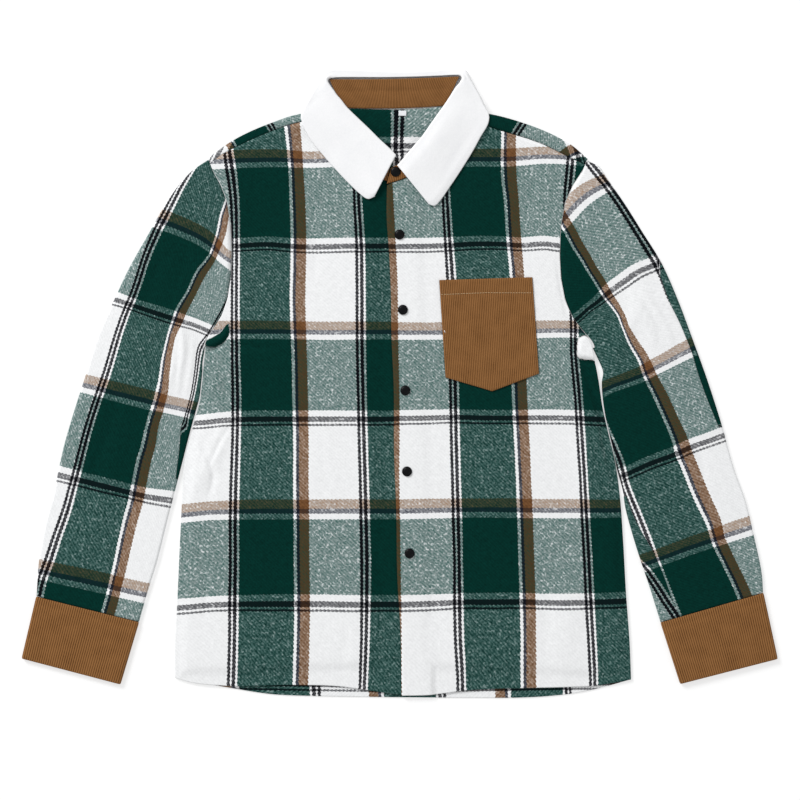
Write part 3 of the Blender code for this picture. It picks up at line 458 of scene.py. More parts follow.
class Shade:
    """One material's nodes, and the methods that add to them and set them."""

    def __init__(self, name: str) -> None:
        """Starts a material with a shader and its output.

        Args:
            name: The material's name.
        """
        self.material = bpy.data.materials.new(name)
        self.material.use_nodes = True
        self.tree = self.material.node_tree
        self.tree.nodes.clear()
        output = self.tree.nodes.new("ShaderNodeOutputMaterial")
        self.shader = self.tree.nodes.new("ShaderNodeBsdfPrincipled")
        self.tree.links.new(self.shader.outputs["BSDF"], output.inputs["Surface"])

    def add(self, kind: str, settings: Settings | None = None, sockets: Sockets | None = None) -> bpy.types.Node:
        """Adds a node.

        Args:
            kind: The node's type.
            settings: Its properties, set first; "stops" fills a colour ramp.
            sockets: Values or readings for its inputs, by name or number.

        Returns:
            The node.
        """
        node = self.tree.nodes.new(kind)
        for key, value in (settings or {}).items():
            if key == "stops":
                self._fill_ramp(node.color_ramp, value)
            else:
                setattr(node, key, value)
        for key, value in (sockets or {}).items():
            self.put(node.inputs[key], value)
        return node

    @staticmethod
    def _fill_ramp(ramp: bpy.types.ColorRamp, stops: Sequence[tuple[float, Colour]]) -> None:
        """Gives a ramp stepped stops."""
        ramp.interpolation = "CONSTANT"
        while len(ramp.elements) > 1:
            ramp.elements.remove(ramp.elements[-1])
        ramp.elements[0].position = stops[0][0]
        ramp.elements[0].color = (*stops[0][1], 1.0)
        for place, colour in stops[1:]:
            ramp.elements.new(place).color = (*colour, 1.0)

    def put(self, socket: bpy.types.NodeSocket, value: object) -> None:
        """Sets a socket to a value, or links a reading to it."""
        if isinstance(value, Reading):
            self.tree.links.new(value.socket, socket)
        else:
            socket.default_value = value

    def dressed(self, **values: object) -> bpy.types.Material:
        """Sets the shader's own sockets, named with _ for a space, and hands the material over."""
        for name, value in values.items():
            self.put(self.shader.inputs[name.replace("_", " ")], value)
        return self.material

    def reading(
        self, kind: str, output: object, settings: Settings | None = None, sockets: Sockets | None = None
    ) -> "Reading":
        """Adds a node and reads one of its outputs."""
        return Reading(self, self.add(kind, settings, sockets).outputs[output])

    def place(self) -> "Reading":
        """The piece's own place, in millimetres."""
        own = self.reading("ShaderNodeTexCoord", "Object")
        return self.reading("ShaderNodeVectorMath", 0, {"operation": "SCALE"}, {0: own, "Scale": 1.0 / MM})

    def weave(self) -> tuple["Reading", "Reading"]:
        """The cloth's own map, across and along."""
        split = self.add("ShaderNodeSeparateXYZ", None, {0: self.reading("ShaderNodeUVMap", 0, {"uv_map": "check"})})
        return Reading(self, split.outputs[0]), Reading(self, split.outputs[1])

    def flat(self, across: "Reading", along: "Reading") -> "Reading":
        """A vector of two readings."""
        return self.reading("ShaderNodeCombineXYZ", 0, None, {0: across, 1: along})

    def noise(self, where: "Reading", scale: float, detail: float = 2.0, rough: float = 0.5) -> "Reading":
        """Soft noise, 0 to 1, over a vector."""
        return self.reading(
            "ShaderNodeTexNoise", "Fac", {"noise_dimensions": "3D"},
            {"Vector": where, "Scale": scale, "Detail": detail, "Roughness": rough},
        )

    def mixed(self, share: object, first: object, second: object) -> "Reading":
        """Two colours mixed by a share.

        Args:
            share: How much of the second there is.
            first: A colour or a reading.
            second: A colour or a reading.

        Returns:
            The mixed colour.
        """
        node = self.add("ShaderNodeMix", {"data_type": "RGBA", "clamp_factor": True})
        self.put(node.inputs[0], share)
        self.put(node.inputs[6], first if isinstance(first, Reading) else (*first, 1.0))
        self.put(node.inputs[7], second if isinstance(second, Reading) else (*second, 1.0))
        return Reading(self, node.outputs[2])

    def raised(
        self, height: "Reading", distance: float, strength: float, under: "Reading | None" = None
    ) -> "Reading":
        """A bump from a height.

        Args:
            height: The height, 0 to 1.
            distance: How high 1 stands, in millimetres.
            strength: The bump's strength.
            under: A normal that it adds to.

        Returns:
            The bumped normal.
        """
        sockets: Sockets = {"Height": height, "Distance": distance * MM, "Strength": strength}
        if under is not None:
            sockets["Normal"] = under
        return self.reading("ShaderNodeBump", "Normal", None, sockets)


@dataclass(frozen=True)
class Reading:
    """A socket's value in shader maths, so that an expression on it adds the Math nodes."""

    shade: Shade
    socket: bpy.types.NodeSocket

    def _math(self, operation: str, *values: object) -> "Reading":
        """Adds one Math node over values and readings."""
        node = self.shade.add("ShaderNodeMath", {"operation": operation}, dict(enumerate(values)))
        return Reading(self.shade, node.outputs[0])

    def __add__(self, other: object) -> "Reading":
        """This plus another."""
        return self._math("ADD", self, other)

    __radd__ = __add__

    def __sub__(self, other: object) -> "Reading":
        """This less another."""
        return self._math("SUBTRACT", self, other)

    def __rsub__(self, other: object) -> "Reading":
        """Another less this."""
        return self._math("SUBTRACT", other, self)

    def __mul__(self, other: object) -> "Reading":
        """This times another."""
        return self._math("MULTIPLY", self, other)

    __rmul__ = __mul__

    def __pow__(self, other: object) -> "Reading":
        """This to a power."""
        return self._math("POWER", self, other)

    def wrapped(self) -> "Reading":
        """The part after the decimal point, always from 0 up to 1."""
        return self._math("FRACT", self)

    def sine(self) -> "Reading":
        """The sine of this many turns."""
        return self._math("SINE", self * (2.0 * math.pi))

    def magnitude(self) -> "Reading":
        """This without its sign."""
        return self._math("ABSOLUTE", self)

    def clamped(self, low: float = 0.0, high: float = 1.0) -> "Reading":
        """This kept between two limits."""
        return self._math("MINIMUM", self._math("MAXIMUM", self, low), high)

    def ramped(self, low: float, high: float) -> "Reading":
        """0 below low, 1 above high and soft between."""
        return self.shade.reading(
            "ShaderNodeMapRange", "Result", {"interpolation_type": "SMOOTHSTEP"},
            {"Value": self, "From Min": low, "From Max": high},
        )


def dyed(colour: Colour) -> Colour:
    """An sRGB colour, 0 to 255, in scene light."""
    return tuple(c / 255 / 12.92 if c <= 10.3 else ((c / 255 + 0.055) / 1.055) ** 2.4 for c in colour)


@dataclass(frozen=True)
class CheckFinish:
    """The brushed twill check: dyed warp and weft stripes that cross, with a raised nap."""

    green: Colour = (3, 45, 39)
    white: Colour = (236, 237, 238)
    navy: Colour = (24, 27, 38)
    black: Colour = (12, 13, 18)
    brown: Colour = (104, 69, 41)
    brown_weft: Colour = (114, 80, 52)
    warp_ends: tuple[tuple[float, str], ...] = (
        (0.0, "green"), (0.425, "white"), (0.449, "navy"), (0.472, "brown"), (0.543, "white"), (0.921, "black"),
        (0.943, "white"), (0.955, "black"), (0.983, "white"),
    )
    weft_ends: tuple[tuple[float, str], ...] = (
        (0.0, "green"), (0.402, "white"), (0.437, "black"), (0.466, "white"), (0.478, "black"), (0.492, "white"),
        (0.888, "brown_weft"), (0.939, "navy"), (0.966, "white"),
    )
    weft_share: float = 0.375
    dark_cover: float = 0.27
    twill_across: float = 0.225
    twill_down: float = 0.235
    twill_contrast: float = 0.24
    nap_contrast: float = 1.45
    curl_contrast: float = 1.1
    tooth_reach: float = 0.0028

    def stripes(self, ends: Sequence[tuple[float, str]]) -> list[tuple[float, Colour]]:
        """Ramp stops from stripes.

        Args:
            ends: Where each stripe starts, as a share of the repeat, and its dye.

        Returns:
            The stops, with colours as square roots, on which scale the yarns mix.
        """
        return [(start, tuple(math.sqrt(c) for c in dyed(getattr(self, dye)))) for start, dye in ends]

    def material(self) -> bpy.types.Material:
        """The check as a material that reads the cloth's own map.

        Returns:
            The material.
        """
        shade = Shade("brushed_check")
        across, down = shade.weave()
        yarn = shade.flat(across * WARP_REPEAT, down * WEFT_REPEAT)
        wobble = shade.noise(yarn, 0.16, 2.0) - 0.5
        broken = (shade.noise(yarn, 0.3, 2.0) - 0.5) * 0.5
        twill = (across * (self.twill_across * WARP_REPEAT) - down * (self.twill_down * WEFT_REPEAT) + broken).sine()
        u = across + wobble * 0.006 + twill * self.tooth_reach
        v = down + wobble * 0.004 + twill * (self.tooth_reach * 0.6)
        warp, weft = (
            shade.reading("ShaderNodeValToRGB", 0, {"stops": self.stripes(ends)}, {0: place.wrapped()})
            for ends, place in ((self.warp_ends, u), (self.weft_ends, v))
        )
        fibre = shade.noise(yarn, 0.36, 2.0, 0.6) - 0.5
        tuft = shade.noise(yarn, 0.15, 2.0, 0.6) - 0.5
        drawn = shade.flat(across * WARP_REPEAT, down * (WEFT_REPEAT * 0.18))
        streak = shade.noise(drawn, 0.4, 1.0) - 0.5
        curl = 1.0 - (shade.noise(yarn, 0.17, 1.0) - 0.5).magnitude() * 13.0
        curl = curl.clamped() * shade.noise(yarn, 0.3, 1.0).ramped(0.45, 0.62)
        warp_grey, weft_grey = self._grey(shade, warp), self._grey(shade, weft)
        even = self.weft_share + (warp_grey - weft_grey) * self.dark_cover
        even = even + self._hides(weft_grey, warp_grey) - self._hides(warp_grey, weft_grey)
        uneven = twill * (tuft + 0.75) * self.twill_contrast + (fibre + tuft * 0.4) * self.nap_contrast
        uneven = uneven + streak * 0.3 + curl * (weft_grey - warp_grey) * self.curl_contrast
        share = (even + even * (1.0 - even) * 2.0 * uneven).clamped(0.0, 0.97)
        crossed = shade.reading("ShaderNodeGamma", 0, None, {"Color": shade.mixed(share, warp, weft), "Gamma": 2.0})
        depth = 1.0 - self._grey(shade, crossed)
        worn = (fibre + tuft * 0.7 + twill * 0.10) * (depth * 0.75 + 0.10)
        crossed = shade.reading("ShaderNodeVectorMath", 0, {"operation": "SCALE"}, {0: crossed, "Scale": worn + 1.0})
        ground = shade.raised(twill * 0.5 + 0.5, 0.10, 0.55)
        return shade.dressed(
            Base_Color=crossed, Normal=shade.raised(shade.noise(yarn, 0.9, 3.0, 0.6), 0.35, 0.6, ground),
            Roughness=0.92, Specular_IOR_Level=0.02, Sheen_Weight=0.015, Sheen_Roughness=0.6,
        )

    @staticmethod
    def _hides(black: Reading, other: Reading) -> Reading:
        """How much more of a near-black yarn shows where it crosses a dark one."""
        return (1.0 - black.ramped(0.07, 0.125)) * (1.0 - other) ** 3.0 * 0.45

    @staticmethod
    def _grey(shade: Shade, colour: Reading) -> Reading:
        """How light a colour is."""
        return shade.reading("ShaderNodeRGBToBW", 0, None, {0: colour})


@dataclass(frozen=True)
class CorduroyFinish:
    """Brown corduroy: napped wales, with painted shade darkening the valleys between them and painted highlight
    lightening their crests.
    """

    # The crest colour is painted highlight on the wale tops, slope is the brown of their sides, and ground is painted
    # shade in the valleys.
    crest: Colour = (145, 102, 61)
    slope: Colour = (118, 79, 43)
    ground: Colour = (62, 37, 17)

    def material(self) -> bpy.types.Material:
        """The corduroy as a material whose map counts wales across and millimetres along.

        Returns:
            The material.
        """
        shade = Shade("brown_corduroy")
        across, along = shade.weave()
        place, drawn = shade.flat(across * WALE, along), shade.flat(across * 4.0, along * 0.35)
        wander = (shade.noise(place, 0.12, 1.0) - 0.5) * 0.25
        crest = ((across + wander).wrapped() - 0.5).magnitude() * 2.0
        height = 1.0 - crest ** 2.2
        nap = shade.noise(drawn, 1.0, 3.0, 0.7)
        brushed = shade.noise(place, 0.055, 2.0)
        # Painted light from the wales' height: painted shade in the valleys and painted highlight on the crests, with
        # random nap and patches over it.
        painted_light_and_nap = (height * 1.05 + (nap - 0.5) * 0.7 + (brushed - 0.5) * 0.6).clamped()
        colour = shade.mixed(painted_light_and_nap.ramped(0.0, 0.55), dyed(self.ground), dyed(self.slope))
        colour = shade.mixed(painted_light_and_nap.ramped(0.45, 1.1), colour, dyed(self.crest))
        return shade.dressed(
            Base_Color=colour, Normal=shade.raised(height * 0.5 + nap * 0.5, 0.3, 0.5),
            Roughness=0.9, Specular_IOR_Level=0.05, Sheen_Weight=0.05, Sheen_Roughness=0.5,
        )


@dataclass(frozen=True)
class BrushedWhite:
    """White brushed cloth with a short fluffy nap."""

    name: str = "brushed_white"
    bright: Colour = (246, 246, 247)
    shaded: Colour = (236, 237, 239)
    fluff: float = 0.5
    scale: float = 0.5

    def material(self) -> bpy.types.Material:
        """The white cloth as a material over the piece's own place.

        Returns:
            The material.
        """
        shade = Shade(self.name)
        place = shade.place()
        fine = shade.noise(place, self.scale, 4.0, 0.65)
        broad = shade.noise(place, self.scale * 0.12, 2.0)
        share = ((fine - 0.5) * 1.2 + (broad - 0.5) * 0.8 + 0.5).clamped()
        return shade.dressed(
            Base_Color=shade.mixed(share, dyed(self.shaded), dyed(self.bright)),
            Normal=shade.raised(fine, self.fluff, 0.5),
            Roughness=0.95, Specular_IOR_Level=0.02, Sheen_Weight=0.02, Sheen_Roughness=0.6,
        )


@dataclass(frozen=True)
class SnapFinish:
    """Glossy black moulded cap with fine handling marks."""

    colour: Colour = (9, 9, 11)
    worn: Colour = (20, 20, 23)

    def material(self) -> bpy.types.Material:
        """The cap's gloss as a material.

        Returns:
            The material.
        """
        shade = Shade("snap_black")
        place = shade.place()
        marks = shade.noise(place, 1.4, 4.0, 0.7)
        return shade.dressed(
            Base_Color=shade.mixed(marks.ramped(0.45, 0.75), dyed(self.colour), dyed(self.worn)),
            Roughness=marks * 0.2 + 0.3, Specular_IOR_Level=0.1, Coat_Weight=0.04, Coat_Roughness=0.2,
        )


@dataclass(frozen=True)
class ThreadFinish:
    """Plied sewing thread."""

    name: str
    colour: Colour

    def material(self) -> bpy.types.Material:
        """The thread as a material.

        Returns:
            The material.
        """
        shade = Shade(self.name)
        place = shade.place()
        ply = shade.noise(place, 2.5, 2.0)
        dark = tuple(c * 0.72 for c in dyed(self.colour))
        return shade.dressed(
            Base_Color=shade.mixed(ply.ramped(0.3, 0.7), dark, dyed(self.colour)),
            Normal=shade.raised(ply, 0.08, 0.5), Roughness=0.7,
        )


@dataclass
class Wardrobe:
    """The finishes, each made once."""

    made: dict[object, bpy.types.Material] = field(default_factory=dict)

    def get(self, finish: object) -> bpy.types.Material:
        """The material of a finish, made the first time that it is asked for."""
        if finish not in self.made:
            self.made[finish] = finish.material()
        return self.made[finish]


WARDROBE = Wardrobe()
CHECK = CheckFinish()
CORDUROY = CorduroyFinish()
COLLAR_WHITE = BrushedWhite()
TAPE_WHITE = BrushedWhite("woven_tape", (244, 245, 247), (214, 216, 220), 0.15, 1.6)
SNAP_BLACK = SnapFinish()
POCKET_THREAD = ThreadFinish("tan_thread", (222, 192, 150))
BROWN_THREAD = ThreadFinish("brown_thread", (120, 80, 44))
WHITE_THREAD = ThreadFinish("white_thread", (246, 246, 246))


def faces_down(grid: np.ndarray, cell: tuple[int, int]) -> bool:
    """Whether a cell of a grid of points would face down."""
    i, j = cell
    return bool(np.cross(grid[i, j + 1] - grid[i, j], grid[i + 1, j] - grid[i, j])[2] < 0)


def cells(
    grid: np.ndarray, weave: np.ndarray, closed: bool = False, kept: np.ndarray | None = None
) -> tuple[np.ndarray, np.ndarray]:
    """Quads between the points of a grid.

    Args:
        grid: Points as rows, columns and X, Y, Z.
        weave: The cloth's own map at each point, with one column more where the grid is closed.
        closed: Whether the last column joins the first.
        kept: Which cells are cloth, as rows and columns of cells.

    Returns:
        The points of each quad, and the map at them.
    """
    rows, columns = grid.shape[:2]
    i, j = np.meshgrid(np.arange(rows - 1), np.arange(columns if closed else columns - 1), indexing="ij")
    if kept is not None:
        i, j = i[kept], j[kept]
    i, j = i.ravel(), j.ravel()
    k = (j + 1) % columns
    quads = np.stack([i * columns + j, i * columns + k, (i + 1) * columns + k, (i + 1) * columns + j], axis=1)
    return quads, np.stack([weave[i, j], weave[i, j + 1], weave[i + 1, j + 1], weave[i + 1, j]], axis=1)


def woven_mesh(name: str, points: np.ndarray, faces: np.ndarray, corners: np.ndarray) -> bpy.types.Mesh:
    """A mesh in metres, with the cloth's own map on its corners."""
    mesh = bpy.data.meshes.new(name)
    mesh.from_pydata((points * MM).tolist(), [], faces.tolist())
    mesh.uv_layers.new(name="check").uv.foreach_set("vector", np.ascontiguousarray(corners, np.float32).ravel())
    return mesh


def grid_mesh(
    name: str, grid: np.ndarray, weave: np.ndarray, kept: np.ndarray | None = None,
    facing: tuple[int, int] | None = None,
) -> bpy.types.Mesh:
    """A mesh of quads through a grid of points.

    Args:
        name: The mesh's name.
        grid: Points in millimetres, as rows, columns and X, Y, Z.
        weave: The cloth's own map at each point.
        kept: Which cells are cloth, as rows and columns of cells.
        facing: A cell that has to face up.

    Returns:
        The mesh.
    """
    faces, corners = cells(grid, weave, kept=kept)
    if facing and faces_down(grid, facing):
        faces, corners = faces[:, ::-1], corners[:, ::-1]
    used, packed = np.unique(faces, return_inverse=True)
    return woven_mesh(name, grid.reshape(-1, 3)[used], packed.reshape(-1, 4), corners)


def walled_mesh(
    name: str, outer: np.ndarray, inner: np.ndarray, weave: np.ndarray, closed: bool = False,
    facing: tuple[int, int] = (2, 2),
) -> bpy.types.Mesh:
    """A closed mesh between an outer and an inner grid of points.

    Args:
        name: The mesh's name.
        outer: The face that shows.
        inner: The face under it, with as many rows and columns.
        weave: The cloth's own map, with one column more where the grids are closed.
        closed: Whether the last column joins the first.
        facing: A cell of the outer face that has to face up.

    Returns:
        The mesh.
    """
    rows, columns = outer.shape[:2]
    top, top_map = cells(outer, weave, closed)
    under = rows * columns
    faces, maps = [top, top[:, ::-1] + under], [top_map, top_map[:, ::-1]]

    def wall(a: np.ndarray, b: np.ndarray, map_a: np.ndarray, map_b: np.ndarray, way: int) -> None:
        """Adds the quads along one edge, whose points are a and b."""
        faces.append(np.stack([a, b, b + under, a + under], axis=1)[:, ::way])
        maps.append(np.stack([map_a, map_b, map_b, map_a], axis=1)[:, ::way])

    j = np.arange(columns if closed else columns - 1)
    for row, way in ((0, -1), (rows - 1, 1)):
        wall(row * columns + j, row * columns + (j + 1) % columns, weave[row, j], weave[row, j + 1], way)
    if not closed:
        i = np.arange(rows - 1)
        for column, way in ((0, 1), (columns - 1, -1)):
            wall(i * columns + column, (i + 1) * columns + column, weave[i, column], weave[i + 1, column], way)
    way = -1 if faces_down(outer, facing) else 1
    points = np.concatenate([outer.reshape(-1, 3), inner.reshape(-1, 3)])
    return woven_mesh(name, points, np.concatenate(faces)[:, ::way], np.concatenate(maps)[:, ::way])


def linked(name: str, data: bpy.types.ID) -> bpy.types.Object:
    """A new object in the scene."""
    made = bpy.data.objects.new(name, data)
    bpy.context.scene.collection.objects.link(made)
    return made


@dataclass
class Piece:
    """One sewn or moulded piece of the garment, ready to be put in the scene."""

    name: str
    slot: Slot
    finish: object
    nodes: tuple[str, ...] = ()

    def place(self, mesh: bpy.types.Mesh, wall: float = 0.0, side: float = -1.0) -> bpy.types.Object:
        """Puts the piece in the scene, dressed and riding on the garment's one body.

        Args:
            mesh: Its mesh.
            wall: How thick its cloth is, or 0 where the mesh is whole already.
            side: Which side of the mesh the wall stands on: 1 above it, -1 below.

        Returns:
            The object.
        """
        mesh.shade_smooth()
        made = linked(self.name, mesh)
        mesh.materials.append(WARDROBE.get(self.finish))
        if wall > 0.0:
            thick = made.modifiers.new("wall", "SOLIDIFY")
            thick.thickness = wall * MM
            thick.offset = side
            thick.use_even_offset = False
        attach(made, "root")
        if self.nodes:
            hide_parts(*self.nodes)
        area = sum(face.area for face in mesh.polygons) / (1 if wall > 0.0 else 2)
        LOG.info("%s: %d faces, %.4f square metres", self.name, len(mesh.polygons), area)
        return made


BODY_FOLDS = (
    Fold(-226, -92, 62, 90, 20, 1.7), Fold(-210, -60, 118, 60, 16, 1.2), Fold(-195, 20, 35, 80, 26, 1.4),
    Fold(-170, -250, 95, 170, 34, 1.1), Fold(-95, -120, 88, 200, 40, 0.9), Fold(-120, 190, 78, 150, 36, 1.0),
    Fold(-60, -300, 96, 120, 30, 1.0), Fold(215, 0, 140, 100, 22, 1.9), Fold(225, -110, 100, 120, 24, 1.2),
    Fold(180, 230, 110, 90, 26, 1.1), Fold(120, -170, 92, 190, 38, 0.9), Fold(205, -270, 84, 150, 32, 1.1),
    Fold(70, -310, 95, 110, 28, 0.8),
)
FRONT_CREASES = (
    Crease(((196, 432), (205, 452), (213, 476), (208, 498)), -1.53, 4.0, 0.3),
    Crease(((232, 424), (222, 440), (213, 458), (208, 470)), -1.36, 3.6, -0.3),
    Crease(((205, 350), (216, 362), (224, 382), (228, 402)), -1.36, 4.5, 0.3),
    Crease(((222, 336), (236, 344), (256, 348), (276, 347)), -1.19, 4.5),
    Crease(((186, 540), (200, 560), (206, 590), (203, 622)), -0.85, 6.3, 0.4),
    Crease(((262, 262), (256, 300), (262, 344), (258, 380)), -0.59, 7.2),
    Crease(((318, 430), (324, 470), (320, 520), (326, 566)), -0.59, 8.1),
    Crease(((240, 630), (262, 642), (284, 640), (310, 650)), -0.51, 7.2),
    Crease(((340, 600), (346, 630), (342, 660), (347, 682)), -0.68, 6.3, 0.3),
    Crease(((556, 258), (560, 286), (566, 312), (572, 330)), -1.02, 4.0, 0.3),
    Crease(((560, 344), (572, 352), (584, 366), (592, 384)), -1.36, 4.0),
    Crease(((545, 340), (558, 356), (566, 378), (570, 402)), -0.85, 5.4, 0.3),
    Crease(((578, 360), (588, 363), (598, 365)), -2.72, 2.7),
    Crease(((204, 352), (213, 350), (222, 345), (229, 338)), -2.72, 2.7),
    Crease(((582, 366), (588, 384), (595, 404), (600, 420)), -2.04, 3.6, 0.3),
    Crease(((604, 392), (600, 420), (604, 450), (612, 478)), -1.53, 3.6, 0.4),
    Crease(((588, 520), (594, 556), (590, 596), (596, 640)), -0.85, 6.3),
    Crease(((470, 420), (476, 460), (470, 506), (474, 548)), -0.59, 8.1),
    Crease(((424, 566), (430, 600), (426, 640), (431, 678)), -0.68, 6.3, 0.3),
    Crease(((540, 560), (548, 600), (544, 640), (550, 676)), -0.59, 7.2),
    Crease(((480, 196), (492, 222), (496, 250), (492, 276)), -0.68, 7.2),
    Crease(((525, 150), (532, 176), (530, 205), (536, 232)), -0.68, 7.2),
    Crease(((320, 200), (314, 224), (318, 250), (312, 280)), -0.59, 7.2),
    Crease(((250, 172), (256, 200), (252, 226), (256, 250)), -0.59, 7.2),
)
UNDERARM_RIGHT = Bunch(
    ((205, 349), (206, 342), (213, 338), (221, 333), (228, 325), (229, 333), (224, 341), (214, 347)),
    2.0, 0.3, 0.2, 6.0,
)
UNDERARM_LEFT = Bunch(
    ((578, 339), (584, 336), (591, 341), (596, 349), (598, 361), (590, 360), (578, 357), (577, 347)),
    2.2, -0.28, -0.38, 6.0,
)
BACK_CREASES = (
    Crease(((230, 240), (250, 330), (244, 430), (256, 520)), 0.5, 9.0),
    Crease(((330, 200), (322, 300), (330, 420), (324, 560)), 0.4, 11.0),
    Crease(((470, 220), (480, 340), (472, 450), (480, 600)), 0.45, 10.0),
    Crease(((560, 230), (548, 330), (556, 440), (550, 540)), 0.5, 9.0),
    Crease(((300, 560), (306, 600), (298, 640), (304, 676)), 0.4, 8.0),
)
FRONT_RIGHT_WARPS: Lines = (
    (-0.44, ((186, 440), (181, 500), (178.5, 560), (176.5, 640), (176, 686))),
    (-0.079, ((225, 170), (229.6, 200), (231.5, 240), (231, 300), (231.5, 400), (229.8, 480), (229, 560), (228.3, 640),
        (227, 680))),
    (0.0, ((237, 170), (239.6, 200), (240, 240), (240, 300), (241.7, 400), (240.2, 480), (239.6, 560), (238.5, 640),
        (237.4, 680))),
    (0.425, ((284.4, 126), (288.7, 170), (289.6, 200), (289.8, 300), (292.4, 400), (293.3, 480), (294, 560), (294, 640),
        (292.8, 680))),
    (0.543, ((300, 126), (303, 170), (305, 200), (305, 300), (307.8, 400), (308.3, 480), (309, 560), (309, 640),
        (307.8, 680))),
    (0.921, ((353, 195), (355, 240), (355.6, 300), (357, 400), (358.7, 480), (360, 560), (360, 640), (359, 680))),
    (1.0, ((362, 200), (364.8, 240), (365.8, 300), (366.7, 400), (369, 480), (371, 560), (369.6, 640), (367.8, 680))),
)
FRONT_RIGHT_WEFTS: Lines = (
    (-0.112, ((240, 150), (290, 150), (308, 152))),
    (0.0, ((245, 168.3), (285, 167.7), (310, 168.3), (330, 167.7), (380, 167.8))),
    (0.402, ((240, 238.5), (265, 237), (290, 238.5), (310, 238.8), (350, 238), (380, 238))),
    (0.494, ((240, 252.3), (270, 251), (290, 253.3), (350, 253.3), (390, 252.7))),
    (0.888, ((222, 320.6), (240, 320.6), (290, 321), (330, 321.5), (380, 321.5))),
    (1.0, ((222, 339.5), (240, 339.2), (290, 339.2), (350, 339.8), (380, 339.2))),
    (1.402, ((200, 415), (240, 411), (290, 410.6), (350, 410.6), (390, 410.8))),
    (1.494, ((190, 429.8), (220, 427.4), (240, 426.5), (290, 426), (350, 426), (395, 425.7))),
    (1.888, ((183, 503.7), (220, 500.4), (240, 499.3), (300, 499), (390, 499))),
    (2.0, ((183, 522.6), (210, 519.8), (240, 519.3), (300, 519), (390, 519))),
    (2.402, ((178, 598.7), (210, 596), (240, 594.8), (350, 594.6), (390, 594.8))),
    (2.494, ((178, 615), (210, 612), (240, 611), (330, 611.7), (390, 611.7))),
    (2.888, ((178, 686), (240, 691), (330, 694), (400, 695.5))),
)
FRONT_LEFT_WARPS: Lines = (
    (-0.457, ((392.4, 190), (395, 240), (397, 280), (397.6, 330), (399, 400), (398.7, 480), (400, 560), (401, 640),
        (401, 680))),
    (-0.079, ((441.6, 200), (443.6, 240), (445.6, 275), (449, 400), (450.9, 480), (453, 560), (453.7, 640),
        (456.3, 680))),
    (0.0, ((450, 200), (453, 240), (456, 275), (459, 400), (460.7, 480), (462.4, 560), (464, 640), (465.7, 680))),
    (0.425, ((501, 140), (501, 180), (503.6, 200), (506, 240), (509, 270), (511.7, 400), (515.7, 480), (518.3, 560),
        (520.4, 640), (520.4, 680))),
    (0.543, ((515, 140), (515.6, 170), (518, 200), (520.6, 240), (523, 270), (526.5, 400), (530.2, 480), (533.5, 560),
        (535, 640), (535.2, 680))),
    (0.921, ((566, 160), (564, 180), (562.4, 200), (569.5, 335), (573.7, 400), (578.7, 480), (582.4, 560), (586.7, 640),
        (589, 680))),
    (1.0, ((578, 345), (582.4, 400), (587.4, 480), (592, 560), (596, 640), (597.6, 680))),
)
FRONT_LEFT_WEFTS: Lines = (
    (-0.112, ((480, 149), (520, 148), (550, 147), (562, 148))),
    (0.0, ((400, 168), (450, 167.4), (480, 167), (510, 167), (540, 164.4), (560, 164.4))),
    (0.402, ((400, 238.6), (430, 238), (460, 237), (490, 236.4), (520, 238), (545, 236), (558, 238))),
    (0.494, ((400, 253.6), (440, 253), (470, 251), (500, 250.6), (530, 252), (545, 250.6), (555, 252.4))),
    (0.888, ((400, 322), (430, 322.4), (540, 320.4), (565, 320.4))),
    (1.0, ((400, 340), (430, 339.6), (545, 338), (565, 337.6))),
    (1.402, ((400, 410.2), (440, 409.6), (480, 410), (520, 410), (570, 410))),
    (1.494, ((400, 425.2), (450, 423.7), (480, 424.3), (520, 424.3), (570, 424.8), (595, 426.5))),
    (1.888, ((400, 498.7), (450, 498), (480, 498), (540, 498.5), (580, 498.5), (610, 499.3))),
    (2.0, ((400, 519), (450, 517.8), (480, 517), (540, 517.8), (590, 517.8), (615, 517.4))),
    (2.402, ((400, 594.8), (450, 593.3), (480, 592.6), (540, 593.3), (600, 592.6))),
    (2.494, ((400, 612), (440, 610.7), (460, 609), (530, 609), (600, 609))),
    (2.888, ((400, 695.5), (480, 695), (560, 692), (610, 686))),
)
BACK_WARPS: Lines = (
    (1.984, ((266, 112), (266, 130))),
    (1.0, ((391, 112), (391, 150), (424, 560), (436, 692))),
    (0.921, ((405, 112), (404, 150), (434, 560), (446, 692))),
    (0.0, ((519, 112), (519, 130), (552, 560), (563, 692))),
    (2.0, ((264, 112), (298, 560), (310, 692))),
    (2.8, ((226, 200), (204, 400), (177, 560), (176, 690))),
    (-0.65, ((596, 200), (606, 400), (626, 560), (630, 690))),
)
BACK_WEFTS: Lines = (
    (0.27, ((300, 114), (490, 114))),
    (0.436, ((345, 143), (400, 143), (440, 143))),
    (3.47, ((250, 686), (400, 688), (560, 686))),
    (1.95, ((250, 414), (400, 414), (560, 414))),
)


